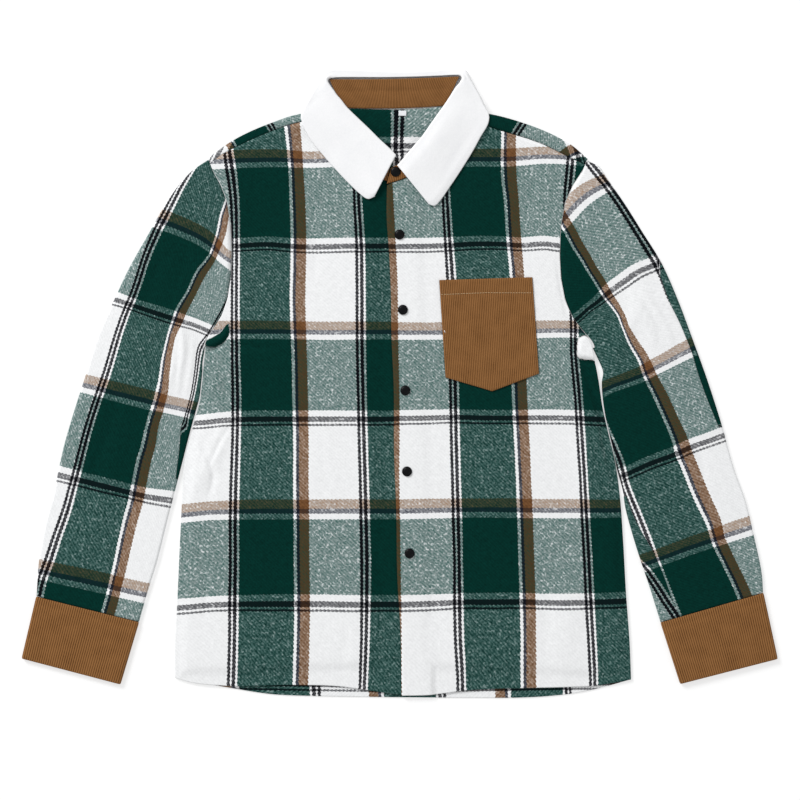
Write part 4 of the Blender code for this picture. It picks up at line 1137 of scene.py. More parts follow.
@dataclass
class Body:
    """The back and the two fronts."""

    side_right: Places = (
        (-269, -354), (-268.5, -312.5), (-266, -257.5), (-263, -189), (-260.5, -141), (-257, -90.5),
        (-248.5, -57), (-239, -21), (-235, 15), (-232.5, 40),
    )
    side_left: Places = (
        (277.5, -356), (276, -316), (271.5, -252.5), (268, -189), (264.5, -140), (258, -93),
        (250, -59.5), (243, -28), (238, 5.5), (231, 39),
    )
    tip_right: tuple[float, float] = (-228.6, 266.8)
    tip_left: tuple[float, float] = (224.3, 265.5)
    underarm_right: tuple[float, float] = (-232.5, 43)
    underarm_left: tuple[float, float] = (231, 41)
    arch_right: float = 30.0
    arch_left: float = -36.0
    arch: Places = (
        (0.0, 0.0), (0.05, 0.15), (0.13, 0.5), (0.22, 0.77), (0.35, 0.94), (0.5, 1.0), (0.62, 0.98),
        (0.74, 0.86), (0.83, 0.64), (0.9, 0.33), (0.94, 0.13), (0.97, 0.035), (1.0, 0.0),
    )
    hem_front_right: Places = (
        (-269, -354), (-251.5, -359), (-207, -363.5), (-126.5, -362.5), (-68.5, -364.5), (-39.5, -368.5),
        (0, -374), (24.5, -374.5),
    )
    hem_front_left: Places = (
        (2.5, -375), (40, -374), (80, -369), (120, -367), (160, -366), (199.5, -365), (237.5, -363),
        (277.5, -356),
    )
    hem_back: Places = (
        (-269, -354), (-239.5, -360), (-201, -366.5), (-155.5, -373.5), (-101.5, -376), (-39.5, -377),
        (8, -377.5), (90, -378), (140, -378), (179.5, -376), (219.5, -371), (249, -364), (277.5, -356),
    )
    placket_edge: Places = (
        (2.5, -375), (1, -292), (-2.5, -237), (-4, -150.5), (-6.5, -82), (-7, -3), (-9.5, 52),
        (-10.5, 113.5), (-12.5, 155.5), (-15.5, 201), (-15, 237),
    )
    under_edge: Places = (
        (24.5, -374.5), (23, -237), (20, -82), (18, 52), (16, 155.5), (16, 233),
    )
    neck_right: Places = (
        (16, 233), (-4, 236.5), (-23.5, 244), (-45, 257.5), (-68, 276), (-84.5, 297.5), (-93, 315.2),
    )
    neck_left: Places = ((-15, 237), (8, 244.5), (34, 258.5), (57, 279), (72.5, 298), (82, 315.2))
    seam_right: Places = ((-227, 262.3), (-219, 269), (-196, 282), (-159, 299), (-119.5, 312), (-93, 316))
    seam_left: Places = (
        (82, 316), (106, 307), (120.5, 302), (138, 297), (171, 286), (200, 271.5), (222.3, 261.4),
    )
    fold_right: Places = (
        (-230, 269), (-199, 290.5), (-173, 303.5), (-149.5, 312.5), (-122, 321), (-107.5, 323), (-93, 323.5),
    )
    fold_left: Places = (
        (82, 324.5), (96.5, 323.5), (111, 321), (140.5, 313.5), (179.5, 299), (207, 284), (225.7, 267.8),
    )
    neck_back: Places = (
        (-93, 323.5), (-77.5, 326), (-63, 328), (-33, 327.5), (0.5, 327), (36.5, 329), (53, 330.5),
        (66.5, 329), (82, 324.5),
    )
    double_width: float = 30.0
    double_fade: float = 14.0
    under_edge_x: float = -18.0
    under_edge_fade: float = 20.0
    side_share: float = 0.6
    placket_share: float = 0.88
    seam_start: float = 0.98
    side_drop: float = 16.0
    hem_drop: float = 14.0
    underarm_fade: tuple[float, float] = (0.06, 0.05)
    front_width: float = 270.0
    back_width: float = 540.0
    shoulder_columns: int = 56
    neck_columns: int = 40
    fold_rows: int = 11
    fall_rows: int = 6
    fall_arch: float = 0.25
    shoulder_stops: tuple[float, ...] = (0.0, 0.12, 0.25, 0.38, 0.5, 0.62, 0.74, 0.84, 0.92, 1.0)
    step: float = 3.2
    side_length: float = 400.0
    armhole_length: float = 290.0
    hem_row: float = 0.0015
    bunched: tuple[float, float] = (0.035, 0.045)
    close_columns: int = 14
    edge_column: float = 0.004
    edge_round: float = 0.9
    edge_round_width: float = 2.2

    def __post_init__(self) -> None:
        """Fits the check to each panel."""
        self.check_right = CheckMap(FRONT_RIGHT_WARPS, FRONT_RIGHT_WEFTS)
        self.check_left = CheckMap(FRONT_LEFT_WARPS, FRONT_LEFT_WEFTS)
        self.check_back = CheckMap(BACK_WARPS, BACK_WEFTS)

    def armhole_bow(self, share: np.ndarray) -> np.ndarray:
        """Depth of the armhole's bow at each share of the way down it."""
        places, depths = np.array(self.arch).T
        return np.interp(share, places, depths)

    def side_edge(self, side: str, reach: float = 1.0) -> Curve:
        """A panel's edge on one side: the side seam, then a share of the armhole up from the underarm."""
        seam, underarm, tip, arch = (getattr(self, f"{part}_{side}") for part in ("side", "underarm", "tip", "arch"))
        armhole = bowed_line(underarm, tip, -arch, lambda share: self.armhole_bow(1.0 - share))
        return joined(smooth_line(seam), lambda share: armhole(share * reach), self.side_share)

    @staticmethod
    def neck_rise(x: np.ndarray, y: np.ndarray) -> np.ndarray:
        """How far the collar leaf under the back lifts the cloth above it."""
        across = smooth_step((NECK_HALF - np.abs(x - NECK_MIDDLE)) / NECK_SOFT_ACROSS)
        return NECK_RISE * across * smooth_step((y - NECK_FROM) / NECK_SOFT_UP)

    def front_inside(self, x: np.ndarray, y: np.ndarray) -> np.ndarray:
        """Height of the inner face of the fronts, away from their edges."""
        raised = (*BODY_FOLDS, *FRONT_CREASES, UNDERARM_RIGHT, UNDERARM_LEFT)
        return INSIDE + self.neck_rise(x, y) + relief(raised, x, y)

    def edge_drop(self, side: np.ndarray, hem: np.ndarray, up: np.ndarray) -> np.ndarray:
        """How far the front comes down to the back's edge.

        Args:
            side: Distance from the side seam.
            hem: Distance from the hem.
            up: Share of the way up the panel.

        Returns:
            The drop at each point.
        """
        full = INSIDE - EDGE_REST
        below, fade = self.underarm_fade
        beside = 1.0 - smooth_step((up - self.side_share + below) / fade)
        at_side = full * (1.0 - smooth_step(side / self.side_drop)) * beside
        at_hem = (full - SEAM) * (1.0 - smooth_step(hem / self.hem_drop))
        return np.maximum(at_side, at_hem)

    def shoulder_seam(self, places: Places, gap: float = 0.0) -> Curve:
        """The back's edge along a shoulder seam, or a front's top edge, a gap below it."""
        stops = smooth_line(places)(np.array(self.shoulder_stops))
        return lambda share: read_off(share, self.shoulder_stops, stops) - (0.0, gap)

    @staticmethod
    def panel(
        first: Curve, last: Curve, bottom: Curve, top: Curve, rows: np.ndarray, columns: np.ndarray
    ) -> np.ndarray:
        """Plan points of a panel between its four edges.

        Args:
            first: The edge at column 0, from the bottom up.
            last: The edge at column 1.
            bottom: The bottom edge.
            top: The top edge.
            rows: Shares up the panel.
            columns: Shares across it.

        Returns:
            X and Y for each row and column.
        """
        ends = np.array([0.0, 1.0])
        s, v = columns[None, :, None], rows[:, None, None]
        low_ends, high_ends = bottom(ends), top(ends)
        low = bottom(columns) - (low_ends[0] * (1 - s[0]) + low_ends[1] * s[0])
        high = top(columns) - (high_ends[0] * (1 - s[0]) + high_ends[1] * s[0])
        spread = first(rows)[:, None] * (1 - s) + last(rows)[:, None] * s
        return spread + (1 - v) ** 2 * low[None] + v**2 * high[None]

    def rows(self) -> np.ndarray:
        """Shares up a body panel, closer at the hem and the neck."""
        side = np.linspace(0.0, self.side_share, int(self.side_length / self.step))
        armhole = np.linspace(self.side_share, 1.0, int(self.armhole_length / self.step))
        rows = np.concatenate([[0.0, self.hem_row], side[1:], armhole[1:]])
        below, above = self.bunched
        bunched = rows[(rows > self.side_share - below) & (rows < self.side_share + above)]
        return np.union1d(rows, (bunched[1:] + bunched[:-1]) / 2)

    def columns(self) -> np.ndarray:
        """Shares across a front."""
        even = np.linspace(0.0, 1.0, int(self.front_width / self.step))
        beside = (even[: self.close_columns] + even[1 : self.close_columns + 1]) / 2
        return np.union1d(even, np.concatenate([beside, [self.edge_column, 1 - self.edge_column]]))

    def front_right(self) -> tuple[np.ndarray, np.ndarray]:
        """The right front, which runs under the left one at the centre.

        Returns:
            Its inner face and its check.
        """
        edge = joined(smooth_line(self.under_edge), smooth_line(self.neck_right), self.placket_share)
        hem, top = smooth_line(self.hem_front_right), self.shoulder_seam(self.seam_right, SHOULDER_GAP)
        rows, columns = self.rows(), self.columns()
        plan = self.panel(self.side_edge("right", self.seam_start), edge, hem, top, rows, columns)
        x, y = plan[..., 0], plan[..., 1]
        pressed = smooth_step((x - self.under_edge_x + self.under_edge_fade) / self.under_edge_fade)
        drop = self.edge_drop(columns[None] * self.front_width, y - y[0, 0] - 10 * columns[None], rows[:, None])
        z = self.front_inside(x, y) - drop
        z += (np.minimum(z, UNDER_EDGE_REST) - z) * pressed
        return np.dstack([x, y, z]), self.check_right.at(plan) + UNDERARM_RIGHT.moved(plan)

    def front_left(self) -> tuple[np.ndarray, np.ndarray, np.ndarray]:
        """The left front, with its centre edge folded double and lying over the right one.

        Returns:
            Its inner face, its outer face and its check.
        """
        edge = joined(smooth_line(self.placket_edge), smooth_line(self.neck_left), self.placket_share)
        hem, top = smooth_line(self.hem_front_left), self.shoulder_seam(self.seam_left, SHOULDER_GAP)
        rows, columns = self.rows(), self.columns()
        plan = self.panel(
            self.side_edge("left", self.seam_start), edge, lambda s: hem(1 - s), lambda s: top(1 - s), rows, columns
        )
        x, y = plan[..., 0], plan[..., 1]
        hem_gap = np.where(x < 40, 99.0, y - y[0, 0] - 10 * columns[None])
        inner = self.front_inside(x, y) - self.edge_drop(columns[None] * self.front_width, hem_gap, rows[:, None])
        outer = inner + self.left_wall(x, y)
        return np.dstack([x, y, inner]), np.dstack([x, y, outer]), self.check_left.at(plan) + UNDERARM_LEFT.moved(plan)

    def left_wall(self, x: np.ndarray, y: np.ndarray) -> np.ndarray:
        """How thick the left front is: double along its folded edge, with that edge rounded over."""
        folded = np.array(self.placket_edge)
        edge = x - np.interp(y, folded[:, 1], folded[:, 0])
        double = 1.0 - smooth_step((edge - self.double_width) / self.double_fade)
        rounded = self.edge_round * (1.0 - smooth_step(edge / self.edge_round_width))
        return CLOTH + (DOUBLE_CLOTH - CLOTH) * double - rounded

    def front_top(self, x: np.ndarray, y: np.ndarray) -> np.ndarray:
        """Height of the left front's outer face, which the pocket and the snaps lie on."""
        return self.front_inside(x, y) + self.left_wall(x, y)

    def back(self) -> tuple[np.ndarray, np.ndarray, np.ndarray]:
        """The back: flat where it rests, folded up over both shoulders and down to the front seams.

        Returns:
            Its outer face, its check, and which cells are cloth.
        """
        radius = LAID / 2
        shoulder = np.linspace(0.0, 1.0, self.shoulder_columns)
        neck = np.linspace(0.0, 1.0, self.neck_columns + 2)[1:-1]
        places, tops, outs, seams = [], [], [], []
        for line, seam, shares, start, span in (
            (self.fold_right, self.seam_right, shoulder, 0.0, 0.36),
            (self.neck_back, None, neck, 0.36, 0.28),
            (self.fold_left, self.seam_left, shoulder, 0.64, 0.36),
        ):
            edge = smooth_line(line)
            here = edge(shares)
            along = edge(np.minimum(shares + 0.01, 1.0)) - edge(np.maximum(shares - 0.01, 0.0))
            out = np.stack([-along[:, 1], along[:, 0]], axis=1) / np.hypot(*along.T)[:, None]
            places.append(start + span * shares)
            outs.append(out)
            tops.append(here - out * radius if seam else here)
            seams.append(self.shoulder_seam(seam)(shares) if seam else here)
        columns, outs, top, seam = (np.concatenate(parts) for parts in (places, outs, tops, seams))
        rows = self.rows()
        plan = self.panel(
            self.side_edge("right"), self.side_edge("left"), smooth_line(self.hem_back),
            lambda share: read_off(share, columns, top), rows, columns,
        )
        x, y = plan[..., 0], plan[..., 1]
        inset = np.minimum(columns, 1 - columns)[None] * self.back_width
        clear = smooth_step(inset / 30.0 - 0.3) * smooth_step((y + 366) / 30.0) * smooth_step((250 - y) / 40.0)
        z = self.neck_rise(x, y) + relief(BACK_CREASES, x, y) * clear
        grids, cloth = [np.dstack([plan, z])], [plan]
        rise = self.neck_rise(top[:, 0], top[:, 1])
        for angle in np.radians(np.linspace(-90.0, 90.0, self.fold_rows))[1:]:
            flat = top + outs * radius * math.cos(angle)
            grids.append(np.column_stack([flat, rise + radius + radius * math.sin(angle)])[None])
            cloth.append((top + outs * radius * (angle + math.pi / 2))[None])
        over = top + outs * radius * math.pi
        fall = np.hypot(*(seam - top).T)[:, None]
        seam_rise = self.neck_rise(seam[:, 0], seam[:, 1])
        for share in np.linspace(0.0, 1.0, self.fall_rows)[1:]:
            flat = top + (seam - top) * share
            height = LAID + rise + (seam_rise - rise) * share + self.fall_arch * math.sin(math.pi * share)
            grids.append(np.column_stack([flat, height])[None])
            cloth.append((over + outs * fall * share)[None])
        grid, sheet = np.concatenate(grids), np.concatenate(cloth)
        kept = np.ones((grid.shape[0] - 1, grid.shape[1] - 1), bool)
        kept[len(rows) - 1 :, self.shoulder_columns - 1 : self.shoulder_columns + self.neck_columns] = False
        return grid, self.check_back.at(sheet), kept

    def make(self) -> None:
        """Builds and dresses the back and the fronts."""
        grid, check, kept = self.back()
        back = Piece("back_panel", Slot.CHECK, CHECK, ("back",)).place(
            grid_mesh("back_panel", grid, check, kept=kept), CLOTH, 1.0
        )
        grid, check = self.front_right()
        right = Piece("front_panel_right", Slot.CHECK, CHECK, ("front_right",)).place(
            grid_mesh("front_panel_right", grid, check), CLOTH, 1.0
        )
        inner, outer, check = self.front_left()
        left = Piece("front_panel_left", Slot.CHECK, CHECK, ("front_left",)).place(
            walled_mesh("front_panel_left", outer, inner, check)
        )


SLEEVE_RELIEF = (
    Fold(-262, 60, 100, 110, 18, 1.6), Fold(-280, -10, 70, 120, 20, 1.3), Fold(-330, 20, 60, 110, 22, 1.1),
    Fold(-350, -120, 75, 150, 24, 1.2), Fold(-390, -220, 68, 90, 18, 1.0), Fold(-300, 150, 50, 90, 22, 1.2),
    Fold(262, 40, 65, 100, 18, 1.7), Fold(300, 60, 118, 120, 22, 1.4), Fold(330, 0, 125, 110, 22, 1.2),
    Fold(310, -140, 112, 170, 18, 1.6), Fold(365, -150, 108, 140, 22, 1.1), Fold(395, -220, 100, 80, 18, 1.0),
    Crease(((182, 328), (184, 350), (181, 372), (178, 398)), 1.72, 3.6),
    Crease(((194, 336), (193, 358), (189, 382), (186, 402)), 1.38, 3.2),
    Crease(((172, 345), (174, 362), (171, 384)), 1.15, 3.4),
    Crease(((182, 425), (180.8, 435), (180, 446.7), (176.7, 473), (175, 487)), -2.53, 2.0),
    Crease(((165, 250), (152, 280), (146, 308), (134, 340)), -1.15, 6.8, 0.3),
    Crease(((190, 250), (178, 282), (172, 306), (160, 338)), -0.92, 6.8, -0.3),
    Crease(((118, 396), (110, 430), (98, 462), (92, 500)), -1.15, 6.8),
    Crease(((150, 436), (138, 470), (132, 506), (120, 540)), -1.03, 6.0, 0.3),
    Crease(((76, 500), (68, 530), (60, 556), (56, 580)), -1.15, 5.1),
    Crease(((120, 545), (110, 570), (106, 590), (99, 606)), -1.15, 5.1, 0.4),
    Crease(
        ((661, 280), (668, 300), (680, 325), (691, 352), (697, 372), (705, 395), (713, 415), (720, 432)),
        -2.07, 2.0,
    ),
    Crease(((619, 478), (627, 500), (634, 518), (646, 540), (658, 563), (665, 580), (680, 617)), -2.99, 2.2),
    Crease(((636, 284), (646, 297), (656, 311), (667, 330), (672, 346)), 1.95, 4.1),
    Crease(((628, 292), (640, 306), (652, 324), (657, 342)), 1.15, 3.8),
    Crease(((648, 318), (656, 334), (660, 350)), -0.92, 3.8),
    Crease(((598, 240), (610, 262), (622, 280), (630, 302)), -1.03, 6.8),
    Crease(((618, 330), (632, 352), (646, 372), (652, 396)), -1.15, 6.0, 0.3),
    Crease(((690, 430), (700, 456), (704, 486), (716, 512)), -1.15, 6.0),
    Crease(((646, 420), (658, 446), (664, 472), (676, 498)), -1.15, 6.0, -0.3),
    Crease(((728, 470), (738, 498), (744, 524), (752, 548)), -1.15, 5.1),
    Crease(((700, 560), (708, 576), (712, 592), (718, 604)), -1.15, 4.2),
)
SLEEVE_RIGHT_WARPS: Lines = (
    (0.0, ((199, 164), (185, 187.5), (175, 208), (163, 231), (150, 261), (143, 283), (137, 299.7), (131.7, 310.8),
        (121.7, 340), (110, 379.7), (103.3, 398), (91.7, 435), (82.5, 471.7), (78.3, 486.7), (73, 508), (62.5, 538),
        (55, 561.7), (47.5, 580.8), (44, 598))),
    (0.425, ((223, 208), (216.7, 233), (210.8, 253.7), (196.7, 270), (188, 290), (175, 310.8), (170.8, 325),
        (166.7, 340), (161.7, 360), (155.8, 390.8), (150, 410), (144, 433), (136.7, 460), (131.7, 484), (129, 499),
        (124, 516.7), (118, 543.3), (111.7, 573.3), (106.7, 594), (100.8, 613.3))),
    (0.543, ((229, 215), (226.7, 231.7), (218, 253), (207.5, 273), (198.3, 290), (188, 310), (182.5, 325),
        (175.8, 336.7), (173, 351.7), (170.8, 368), (169, 393), (164, 412.5), (156.7, 443), (149, 473), (144, 500),
        (138, 520), (133, 540), (126.7, 568), (121.7, 586.7), (116.7, 608))),
    (0.921, ((206.7, 335), (198, 345), (195.8, 360), (192.5, 385), (188, 405), (184, 418))),
)
SLEEVE_RIGHT_WEFTS: Lines = (
    (-0.112, ((170.8, 211.7), (215.8, 235), (223, 243), (226.7, 250))),
    (-0.034, ((220.8, 255), (233, 263))),
    (0.0, ((163, 231), (210.8, 253.7), (217.5, 260.8), (230, 271.7))),
    (0.402, ((137, 299.7), (175, 310.8), (185.8, 315), (201.7, 320.8))),
    (0.494, ((131.7, 310.8), (170.8, 325), (183, 328.3), (191.7, 330), (205, 335.8))),
    (0.888, ((87.5, 374.2), (101.7, 377.5), (110, 379.7), (155.8, 390.8), (168.3, 395), (184, 398.3))),
    (1.0, ((80.8, 392), (103.3, 398), (150, 410), (164, 412.5), (183, 416.7))),
    (1.402, ((60.8, 465.8), (82.5, 471.7), (131.7, 484), (146.7, 487.5), (174, 490.8))),
    (1.494, ((55.8, 481.7), (78.3, 486.7), (129, 499), (170.8, 508.3))),
    (1.888, ((40, 558.3), (55, 561.7), (111.7, 573.3), (124, 576.7), (150.8, 582.5))),
    (2.0, ((47.5, 580.8), (106.7, 594), (145.8, 603))),
)
SLEEVE_LEFT_WARPS: Lines = (
    (0.0, ((516, 262), (540, 306), (566, 346), (590, 386), (610, 430), (625, 465), (628, 480), (631.7, 490), (640, 510),
        (650, 535), (659, 560), (668, 583), (681.7, 616.7))),
    (0.425, ((562.5, 230), (570, 245), (581.7, 263), (593, 281.7), (601.7, 296.7), (610, 306.7), (618, 316.7),
        (623, 330), (628, 345), (638, 361.7), (641.7, 375), (650, 391.7), (655, 403), (665, 425), (671.7, 443),
        (675, 456.7), (680, 466.7), (688, 488), (698, 510), (707.5, 530), (711, 543), (720, 561.7), (730, 581.7),
        (736.7, 598))),
    (0.543, ((570.8, 223), (581.7, 243), (595, 266.7), (605.8, 283.3), (613, 296.7), (621.7, 311.7), (626.7, 326.7),
        (635, 338), (648, 358), (655.8, 375), (666.7, 395), (678, 420), (686.7, 438), (692.5, 455), (700, 473),
        (708, 493), (720, 520), (723, 536.7), (728, 546.7), (736.7, 565), (745, 581.7), (751, 595))),
    (0.921, ((585, 165.8), (601.7, 186.7), (616.7, 208), (631.7, 231.7), (650, 261.7), (658, 276.7))),
    (1.0, ((700, 330), (712, 356), (722, 384), (734, 412), (742, 440))),
)
SLEEVE_LEFT_WEFTS: Lines = (
    (-0.112, ((570, 192.5), (580, 185), (590, 179), (598, 176.7))),
    (0.0, ((571.7, 223.3), (581.7, 211.7), (593, 201.7), (605, 194))),
    (0.402, ((578, 311), (590, 301), (605.8, 283.3), (618, 275), (630, 265.8), (646.7, 259))),
    (0.494, ((576.7, 325), (590, 311.7), (605, 303), (615, 296.7), (630, 286.7), (643, 277.5), (655.8, 272.5))),
    (0.888, ((610, 378), (625, 371.7), (638, 366.7), (650, 359), (663, 352.5), (676.7, 344), (686.7, 339))),
    (1.0, ((613, 392), (626.7, 387.5), (643, 381.7), (655.8, 375), (668, 369), (680, 363), (691.7, 357.5))),
    (1.402, ((628, 465), (650, 455), (671.7, 446.7), (687.5, 439), (703, 434), (718, 428))),
    (1.494, ((628, 480), (650, 470), (678, 460), (691.7, 454), (708, 448), (724, 442.5))),
    (1.888, ((661, 546.7), (683, 538), (706.7, 530), (720, 525), (733, 520), (746.7, 515.8))),
    (2.0, ((661.7, 565), (686.7, 555.8), (710, 548), (727.5, 542.5), (751.7, 535))),
)
SLEEVE_RIGHT_TUCKS = (
    Tuck(
        ((185, 416, 1.0), (182, 425, 1.0), (180.8, 435, 1.0), (180, 446.7, 1.0), (176.7, 473, 1.0), (175, 487, 1.0)),
        False, (0.3, 0.12), 0.7,
    ),
)
SLEEVE_LEFT_TUCKS = (
    Tuck(
        ((656, 266, 1.04), (661, 280, 1.04), (668, 300, 1.04), (680, 325, 1.04), (685, 337, 1.04), (691, 352, 1.04),
         (697, 372, 1.04), (705, 395, 1.04), (713, 415, 1.02), (720, 432, 1.0)),
        True, (0.1, 0.05), 0.8,
    ),
    Tuck(
        ((619, 478, 0.27), (627, 500, 0.27), (634, 518, 0.24), (646, 540, 0.17), (653, 552, 0.13), (658, 563, 0.085),
         (665, 580, 0.045), (672, 600, 0.005), (680, 617, -0.02)),
        False, (0.08, 0.01), 0.8,
    ),
)


@dataclass
class Sleeve:
    """One long sleeve laid flat: a tube with a fold along each edge."""

    side: str
    tip: tuple[float, float]
    underarm: tuple[float, float]
    arch: float
    sections: Places
    check: CheckMap
    tucks: tuple[Tuck, ...] = ()
    puff_power: float = 0.7
    across: int = 84
    across_below: int = 38
    along: int = 196
    fold_steps: int = 9
    pair_gap: float = 0.25
    end_fade: float = 26.0
    end_relief: float = 0.45

    def ring_plans(self, body: Body, shares: np.ndarray) -> tuple[np.ndarray, np.ndarray, np.ndarray]:
        """Each section's line across in plan, and the directions out of its two folds.

        Args:
            body: The body, whose armhole the first section follows.
            shares: Shares across from the outer fold.

        Returns:
            The lines, the outer ways and the inner ways.
        """
        rows = np.array(self.sections)
        outer, inner = rows[:, :2], rows[:, 2:4]
        outer_ways, inner_ways = edge_ways(outer, inner), edge_ways(inner, outer)
        away = -math.copysign(ARMHOLE_GAP, self.arch)
        start, end = ((x + away, y) for x, y in (self.tip, self.underarm))
        lines = []
        for i, row in enumerate(rows):
            if i == 0:
                line = bowed_line(start, end, self.arch, body.armhole_bow)
            else:
                line = bowed_line(outer[i], inner[i], row[4], lambda s: np.sin(math.pi * s))
            near, far = (LAID / 2 * bell(share / 0.05)[:, None] for share in (shares, 1 - shares))
            lines.append(line(shares) - outer_ways[i] * near - inner_ways[i] * far)
        return np.array(lines), outer_ways, inner_ways

    def drawn_shares(
        self, plan: np.ndarray, fine: np.ndarray, shares: np.ndarray, width: np.ndarray
    ) -> tuple[np.ndarray, Pairs]:
        """Shares across at each row, moved so that a pair of columns runs along each tuck.

        Args:
            plan: Fine plan points of each row.
            fine: Their shares across.
            shares: The even shares across.
            width: How wide each row is.

        Returns:
            The shares of each row, and each tuck's first column, and its depth and start at each row.
        """
        pairs, base, moved = [], [0.0], [np.zeros(len(plan))]
        for tuck in self.tucks:
            where, depth, starts = tuck.crossings(plan, fine)
            column = int(np.argmin(np.abs(shares - where[depth > 0.0].mean())))
            pairs.append((column, depth, starts))
            base += [shares[column], shares[column + 1]]
            moved += [where - self.pair_gap / width / 2, where + self.pair_gap / width / 2]
        moved.append(np.ones(len(plan)))
        return np.array([np.interp(shares, base + [1.0], row) for row in np.transpose(moved)]), pairs

    def past_tucks(self, over: np.ndarray, pairs: Pairs) -> tuple[np.ndarray, np.ndarray, np.ndarray]:
        """How far the check has moved on past each tuck.

        Args:
            pairs: Each tuck's first column, depth and start.

        Returns:
            The move of the warp share at each point, at the outer fold and at the inner one.
        """
        moved = np.zeros(over.shape[:2])
        outer, inner = np.zeros(len(over)), np.zeros(len(over))
        for tuck, (column, depth, starts) in zip(self.tucks, pairs):
            jump = (starts - over[:, column, 0]) * depth
            if tuck.outwards:
                moved[:, : column + 1] += jump[:, None]
                outer += jump
            else:
                moved[:, column + 1 :] += jump[:, None]
                inner += jump
        return moved, outer[:, None], inner[:, None]

    def make(self, body: Body) -> None:
        """Builds and dresses the sleeve.

        Args:
            body: The body that it is sewn to.
        """
        turn = np.cos(np.linspace(0.0, math.pi, self.across))
        shares = 0.5 - 0.5 * turn * (0.6 + 0.4 * np.abs(turn))
        fine, low = np.linspace(0.0, 1.0, 220), np.linspace(0.0, 1.0, self.across_below)
        lines, outer_ways, inner_ways = self.ring_plans(body, fine)
        rows = np.array(self.sections)
        stops = way_stops((rows[:, :2] + rows[:, 2:4]) / 2)
        places = np.linspace(0.0, stops[-1], self.along)
        whole = hermite(stops, lines, places)
        width = np.hypot(*(whole[:, -1] - whole[:, 0]).T)
        drawn, pairs = self.drawn_shares(whole, fine, shares, width)
        plan = np.array([read_off(row, fine, line) for row, line in zip(drawn, whole)])
        below = np.array([read_off(low, fine, line) for line in whole])
        puff = hermite(stops, rows[:, 5], places)[:, None]
        ways = []
        for way in (outer_ways, inner_ways):
            turned = hermite(stops, way, places)
            ways.append(turned / np.hypot(*turned.T)[:, None])
        outer_way, inner_way = (way[:, None, :] for way in ways)
        radius = LAID / 2
        x, y = plan[..., 0], plan[..., 1]
        middle = np.maximum(np.sin(math.pi * drawn), 0.0) ** self.puff_power
        open_end = smooth_step((stops[-1] - places) / self.end_fade)[:, None]
        creased = self.end_relief + (1 - self.end_relief) * open_end
        height = LAID + middle * (puff + relief(SLEEVE_RELIEF, x, y) * creased)
        over = self.check.at(plan)
        moved, at_outer, at_inner = self.past_tucks(over, pairs)
        for tuck, (column, depth, _) in zip(self.tucks, pairs):
            past = np.arange(self.across)[None]
            away = (drawn - drawn[:, column, None]) * width[:, None] * (-1.0 if tuck.outwards else 1.0)
            on_top = past > column if tuck.outwards else past <= column
            height += depth[:, None] * np.where(on_top, tuck.step * bell(away / tuck.width), 0.0) * middle**0.5
        over[..., 0] += moved
        top = np.dstack([plan, height])
        flat = np.dstack([below, np.zeros(below.shape[:2])])
        turns = np.radians(np.linspace(-90.0, 90.0, self.fold_steps + 2)[1:-1])[None, :, None]
        folds = ((plan[:, -1:], inner_way), (plan[:, :1], outer_way))
        cloths = [centre + way * radius * (math.pi / 2 - turns) for centre, way in folds]
        faces = []
        for wall in (0.0, CLOTH):
            arcs, reach = [], radius - wall
            for centre, way in folds:
                spot = centre + way * reach * np.cos(turns)
                arcs.append(np.dstack([spot, np.broadcast_to(radius + reach * np.sin(turns), (*spot.shape[:2], 1))]))
            level = np.array([0.0, 0.0, wall])
            faces.append(np.concatenate([arcs[0], top[:, ::-1] - level, arcs[1][:, ::-1], flat + level], axis=1))
        inner_edge, outer_edge = self.check.at(cloths[0]), self.check.at(cloths[1][:, ::-1])
        inner_edge[..., 0] += at_inner
        outer_edge[..., 0] += at_outer
        full = self.check.at(plan[:, :1] + outer_way * radius * math.pi)
        under = self.check.at(below)
        under[..., 0] = full[..., 0] + at_outer + under[:, :1, 0] - under[..., 0]
        weave = np.concatenate([inner_edge, over[:, ::-1], outer_edge, under, under[:, -1:]], axis=1)
        name = f"sleeve_tube_{self.side}"
        facing = (self.along // 2, self.fold_steps + self.across // 2)
        piece = Piece(name, Slot.CHECK, CHECK, (f"sleeve_{self.side}",)).place(
            walled_mesh(name, *faces, weave, closed=True, facing=facing)
        )


